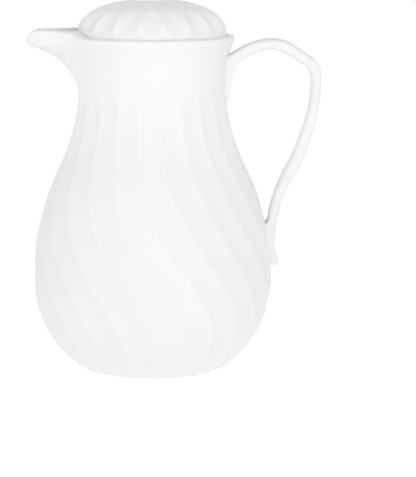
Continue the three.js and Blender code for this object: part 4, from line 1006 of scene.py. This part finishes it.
lug_radius = at_height(collar_curve, SKIRT_BOTTOM, SHELL_DEPTH).x - LUG_GAP
lug = [(LUG_ROOT, SKIRT_BOTTOM), (lug_radius, SKIRT_BOTTOM), (lug_radius, LUG_TOP), (LUG_ROOT, LUG_TOP)]
for count in range(BAYONET_COUNT):
    start = LUG_TURN + count * TURN / BAYONET_COUNT - LUG_SWEEP / 2
    add_sector(lid_mesh, lug, start, LUG_SWEEP, LUG_COLUMNS)
finished("lid_cap_fine", lid_mesh, "lid", ["lid_cap"], lid_finish)

# %% [markdown]
# ## Button
# The button is a disc with a faint crown and a rounded edge. A flange below keeps it in the lid, and a socket
# takes the top of the valve stem.

# %% Push button
BUTTON_RADIUS = 14
BUTTON_TOP = 262.6
BUTTON_CROWN = 0.6
BUTTON_EDGE = 1.2
FLANGE_RADIUS = 16.2
FLANGE_SEAT = 16.6
FLANGE_THICKNESS = 3
STEM_RADIUS = 3
SOCKET_DEPTH = 5
FIT_GAP = 0.3
BUTTON_STEPS = 5
EDGE_STEPS = 6

flange_top = cavity_place(FLANGE_SEAT)[1] - FIT_GAP
button_bottom = flange_top - FLANGE_THICKNESS
crown_radius = BUTTON_RADIUS - BUTTON_EDGE
button_places = [
    (radius, BUTTON_TOP - BUTTON_CROWN * (radius / crown_radius) ** 2)
    for radius in steps(0, crown_radius, BUTTON_STEPS)]
for angle in steps(0, math.pi / 2, EDGE_STEPS)[1:]:
    drop = BUTTON_EDGE * (1 - math.cos(angle))
    button_places.append((crown_radius + BUTTON_EDGE * math.sin(angle), BUTTON_TOP - BUTTON_CROWN - drop))
button_places += [
    (BUTTON_RADIUS, flange_top), (FLANGE_RADIUS, flange_top), (FLANGE_RADIUS, button_bottom),
    (STEM_RADIUS + FIT_GAP, button_bottom), (STEM_RADIUS + FIT_GAP, button_bottom + SOCKET_DEPTH),
    (0, button_bottom + SOCKET_DEPTH)]
button_mesh = turned(button_places, ROUND_COLUMNS)
finished("push_button_fine", button_mesh, "valve", ["push_button"], lid_finish)

# %% [markdown]
# ## Stopper
# The stopper hangs under the lid. Six windows let the drink out of its chamber into the collar. The wall is
# turned in one go, then the faces in each window are taken out of both its sides and the two holes are
# bridged, which closes the wall round the window.

# %% Stopper
WINDOW_COUNT = 6
WINDOW_HALF = math.radians(11.3)
WINDOW_BOTTOM = 216
WINDOW_TOP = 229
WINDOW_REACH = 25

stopper_mesh = turned([
    (3.4, 240.5), (5.2, 240.5), (5.2, 236), (45.2, 236), (45.6, 235.6), (45.6, 233.4), (45.2, 233),
    (36, 233), (36, WINDOW_TOP), (36, WINDOW_BOTTOM), (36, 214), (38.2, 213), (38.2, 209.5), (35.6, 209.5),
    (35.6, 203.5), (38.2, 203.5), (37.4, 192.4), (37, 192), (20.4, 192), (20, 192.4), (20, 195.5),
    (32.6, 195.5), (32.6, WINDOW_BOTTOM), (32.6, WINDOW_TOP), (32.6, 231), (3.4, 231)], ROUND_COLUMNS)


def off_window(point):
    """The angle from the middle of the nearest window."""
    pitch = TURN / WINDOW_COUNT
    return abs((math.atan2(point.y, point.x) + pitch / 2) % pitch - pitch / 2)


in_window = []
for face in stopper_mesh.faces:
    middle = face.calc_center_median()
    level = WINDOW_BOTTOM * MM < middle.z < WINDOW_TOP * MM
    if level and off_window(middle) < WINDOW_HALF:
        in_window.append(face)
bmesh.ops.delete(stopper_mesh, geom=in_window, context="FACES")
for count in range(WINDOW_COUNT):
    toward = round_axis(1, count * TURN / WINDOW_COUNT, 0).normalized()
    edges = [
        edge for edge in stopper_mesh.edges
        if edge.is_boundary and edge.verts[0].co.dot(toward) > WINDOW_REACH * MM]
    bmesh.ops.bridge_loops(stopper_mesh, edges=edges)
finished("stopper_fine", stopper_mesh, "lid", ["stopper_body"], stopper_finish)

# %% [markdown]
# The gasket round the stopper is soft rubber with one lip that wipes the liner. It stays still while the lid
# turns, so it has a body of its own.

# %% Stopper gasket
gasket_mesh = turned([
    (35.9, 203.8), (38.1, 203.8), (38.1, 205.5), (38.6, 205.9), (39, 206.3), (39.1, 206.5), (39, 206.7),
    (38.6, 207.1), (38.1, 207.5), (38.1, 209.2), (35.9, 209.2)], ROUND_COLUMNS)
finished("stopper_gasket_fine", gasket_mesh, "lid_carrier", ["stopper_gasket"], rubber_finish)

# %% [markdown]
# ## Valve
# Pressing the button pushes a stem down through the stopper, and a disc at its foot opens the stopper's
# floor. A rubber ring seals the disc, and a spring clip in a groove holds it on the stem.

# %% Valve disc and its seal
disc_mesh = turned([
    (3.3, 189.8), (23.6, 189.8), (24, 189.4), (24, 187.2), (23.6, 186.8), (7.6, 186.8), (7, 186.2),
    (7, 185.6), (6.7, 185.3), (3.3, 185.3)], ROUND_COLUMNS)
finished("valve_disc_fine", disc_mesh, "valve", ["valve_disc"], stopper_finish)

ring_mesh = turned([
    (19, 190.3), (19.2, 190.1), (23.5, 190.1), (23.7, 190.3), (23.7, 191.4), (23.4, 191.7), (19.3, 191.7),
    (19, 191.4)], ROUND_COLUMNS)
finished("valve_seal_fine", ring_mesh, "valve", ["valve_seal"], rubber_finish)

# %% Valve stem and its clip
CLIP_OPENING = math.radians(60)
CLIP_SECTION = [(2.4, 184.2), (5.4, 184.2), (5.4, 185), (2.4, 185)]
CLIP_COLUMNS = 40

stem_top = button_bottom + SOCKET_DEPTH - FIT_GAP
stem_mesh = turned([
    (0, stem_top), (2.6, stem_top), (3, stem_top - 0.4), (3, 193.1), (4.6, 193.1), (4.8, 192.9), (4.8, 190.1),
    (3, 190.1), (3, 185.3), (2.1, 185.3), (2.1, 183.9), (3, 183.9), (3, 182.4), (2.5, 181.9), (0, 181.9)],
    SMALL_COLUMNS)
finished("valve_stem_fine", stem_mesh, "valve", ["valve_stem"], steel_finish)

clip_mesh = bmesh.new()
add_sector(clip_mesh, CLIP_SECTION, CLIP_OPENING / 2, TURN - CLIP_OPENING, CLIP_COLUMNS)
finished("stem_clip_fine", clip_mesh, "valve", ["stem_clip"], steel_finish)

# %% [markdown]
# The return spring is a round wire wound five times. Spin winds it when it also climbs a little at each
# step. When the button goes down the spring is squeezed towards the deck that it stands on. It gets a mesh
# of its own.

# %% Return spring
SPRING_RADIUS = 8.2
WIRE_RADIUS = 0.65
WIRE_SIDES = 12
SPRING_CURLS = 5
CURL_STEPS = 36
DECK_FACE = 236.3

spring_mesh = bmesh.new()
bmesh.ops.create_circle(spring_mesh, segments=WIRE_SIDES, radius=WIRE_RADIUS * MM)
upright = Matrix.Rotation(math.pi / 2, 3, "X")
bmesh.ops.rotate(spring_mesh, verts=spring_mesh.verts, cent=(0, 0, 0), matrix=upright)
spring_foot = Vector((SPRING_RADIUS, 0, DECK_FACE + WIRE_RADIUS)) * MM
bmesh.ops.translate(spring_mesh, verts=spring_mesh.verts, vec=spring_foot)
wire_start = list(spring_mesh.verts)
spring_length = button_bottom - FIT_GAP - DECK_FACE
climb = spring_length - 2 * WIRE_RADIUS
step_count = SPRING_CURLS * CURL_STEPS
wire = bmesh.ops.spin(
    spring_mesh, geom=spring_mesh.verts[:] + spring_mesh.edges[:], cent=(0, 0, 0), axis=(0, 0, 1),
    dvec=(0, 0, climb * MM / step_count), angle=SPRING_CURLS * TURN, steps=step_count)
wire_end = [item for item in wire["geom_last"] if isinstance(item, bmesh.types.BMVert)]
for end in (wire_start, wire_end):
    bmesh.ops.contextual_create(spring_mesh, geom=end)
spring = finished("return_spring_fine", spring_mesh, "lid", ["return_spring"], steel_finish)
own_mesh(spring)

# %% [markdown]
# ## Screws
# Three small screws join the stopper to the lid from below. Each is a stack of circles joined by bridges,
# from a six-sided socket out over the head and along the shaft, so circles of different counts can meet.


# %% Lid screws
def stack(circles, closed=False):
    """A bmesh of circles joined in turn. A circle is its centre's x, radius, height and corner count."""
    bm = bmesh.new()
    loops = []
    for centre, radius, height, corners in circles:
        at = Matrix.Translation(Vector((centre, 0, height)) * MM)
        verts = bmesh.ops.create_circle(bm, segments=corners, radius=radius * MM, matrix=at)["verts"]
        loops.append(list(dict.fromkeys(edge for vert in verts for edge in vert.link_edges)))
    following = loops[1:] + loops[:1] if closed else loops[1:]
    for near, far in zip(loops, following):
        bmesh.ops.bridge_loops(bm, edges=near + far)
    if not closed:
        for loop in (loops[0], loops[-1]):
            bmesh.ops.contextual_create(bm, geom=loop)
    return bm


SCREW_COUNT = 3
SCREW_CIRCLE = 40.8
SCREW = [
    (0, 1.2, 231.9, 6), (0, 1.2, 230.9, 6), (0, 2.4, 230.9, 24), (0, 2.7, 231.05, 24), (0, 2.8, 231.4, 24),
    (0, 2.8, 232.7, 24), (0, 1.4, 232.7, 24), (0, 1.4, 240.5, 24), (0, 1, 241, 24)]
for count in range(SCREW_COUNT):
    screw_mesh = stack(SCREW)
    place = round_axis(SCREW_CIRCLE, LUG_TURN + count * TURN / SCREW_COUNT, 0)
    bmesh.ops.translate(screw_mesh, verts=screw_mesh.verts, vec=place)
    name = f"lid_screw_{count + 1}"
    finished(name + "_fine", screw_mesh, "lid", [name], steel_finish)

# %% [markdown]
# ## Liner
# Inside the shell is a plain, smooth vessel that holds the drink. Its outside follows the shell at the
# thickness of the foam, and its mouth has a flange that lies on the ledge in the neck.

# %% Inner liner
LINER_WALL = 2
LINER_FLOOR = 14
LINER_BELLY = 71.6
LINER_NECK = 41.5
CORNER_ROWS = 16
SHOULDER_ROWS = 26
LINER_COLUMNS = 128

corner_curve = curve((44, LINER_FLOOR), (52, LINER_FLOOR), (LINER_BELLY, 33), (LINER_BELLY, BELLY_HEIGHT))
shoulder_curve = curve(
    (LINER_BELLY, BELLY_HEIGHT), (LINER_BELLY, 140), (LINER_NECK, 139), (LINER_NECK, NECK_HEIGHT))


def liner_line(distance):
    line = [beside(corner_curve, share, distance) for share in steps(0, 1, CORNER_ROWS)]
    line += [beside(shoulder_curve, share, distance) for share in steps(0, 1, SHOULDER_ROWS)[1:]]
    return [tuple(place) for place in line]


liner_places = [(0, LINER_FLOOR)] + liner_line(0) + [
    (LINER_NECK, 211), (46.6, 211), (47, 211.4), (47, 212.6), (46.6, 213), (40.3, 213), (39.7, 212.7),
    (LINER_NECK - LINER_WALL, 212)]
liner_places += liner_line(LINER_WALL)[::-1] + [(0, LINER_FLOOR + LINER_WALL)]
liner_mesh = turned(liner_places, LINER_COLUMNS)
finished("inner_liner_fine", liner_mesh, "jug", ["inner_liner"], liner_finish)

# %% [markdown]
# ## Base
# A flat plate closes the shell from below and carries the jug. It snaps into the shell with a bead round its
# spigot, has a groove for a seal, and a hole off its middle through which the foam was filled, now plugged.

# %% Base plate and plug
HOLE_PLACE = -18
BASE_CIRCLES = [
    (HOLE_PLACE, 6.7, 0), (0, 41, 0), (0, 41.4, 0.4), (0, 41.4, 2.7), (0, 40.8, 2.7), (0, 40.8, 1.16),
    (0, 38.96, 1.16), (0, 38.96, 2.7), (0, 37.6, 2.7), (0, 37.6, 5.6), (0, 38.5, 6.1), (0, 37.6, 6.6),
    (0, 34.2, 6.6), (0, 34.2, 2.7), (HOLE_PLACE, 4.5, 2.7), (HOLE_PLACE, 4.5, 1.5), (HOLE_PLACE, 6.7, 1.5)]

base_mesh = stack([(*circle, ROUND_COLUMNS) for circle in BASE_CIRCLES], True)
finished("base_plate_fine", base_mesh, "jug", ["base_plate"], base_finish)

plug_mesh = turned([
    (0, 0.3), (6, 0.3), (6.3, 0.4), (6.4, 0.6), (6.4, 1.2), (4.2, 1.2), (3.9, 4.7), (3.6, 4.9), (0, 4.9)],
    SMALL_COLUMNS)
bmesh.ops.translate(plug_mesh, verts=plug_mesh.verts, vec=(HOLE_PLACE * MM, 0, 0))
finished("fill_plug_fine", plug_mesh, "jug", ["fill_plug"], base_finish)

# %% [markdown]
# ## Pieces that stay as they are
# The foam, two seals and the handle's screws are shut up inside the jug, and their solids already have the
# right shape, so they only get their finishes.

# %% Finishes of the hidden solids
hidden = {
    "insulation_foam": foam_finish, "neck_gasket": rubber_finish, "base_seal": rubber_finish,
    "handle_screw_upper": steel_finish, "handle_screw_lower": steel_finish}
for name, finish in hidden.items():
    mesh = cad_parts[name].data
    mesh.materials.clear()
    mesh.materials.append(finish)
print("finishes on", len(hidden), "hidden solids")
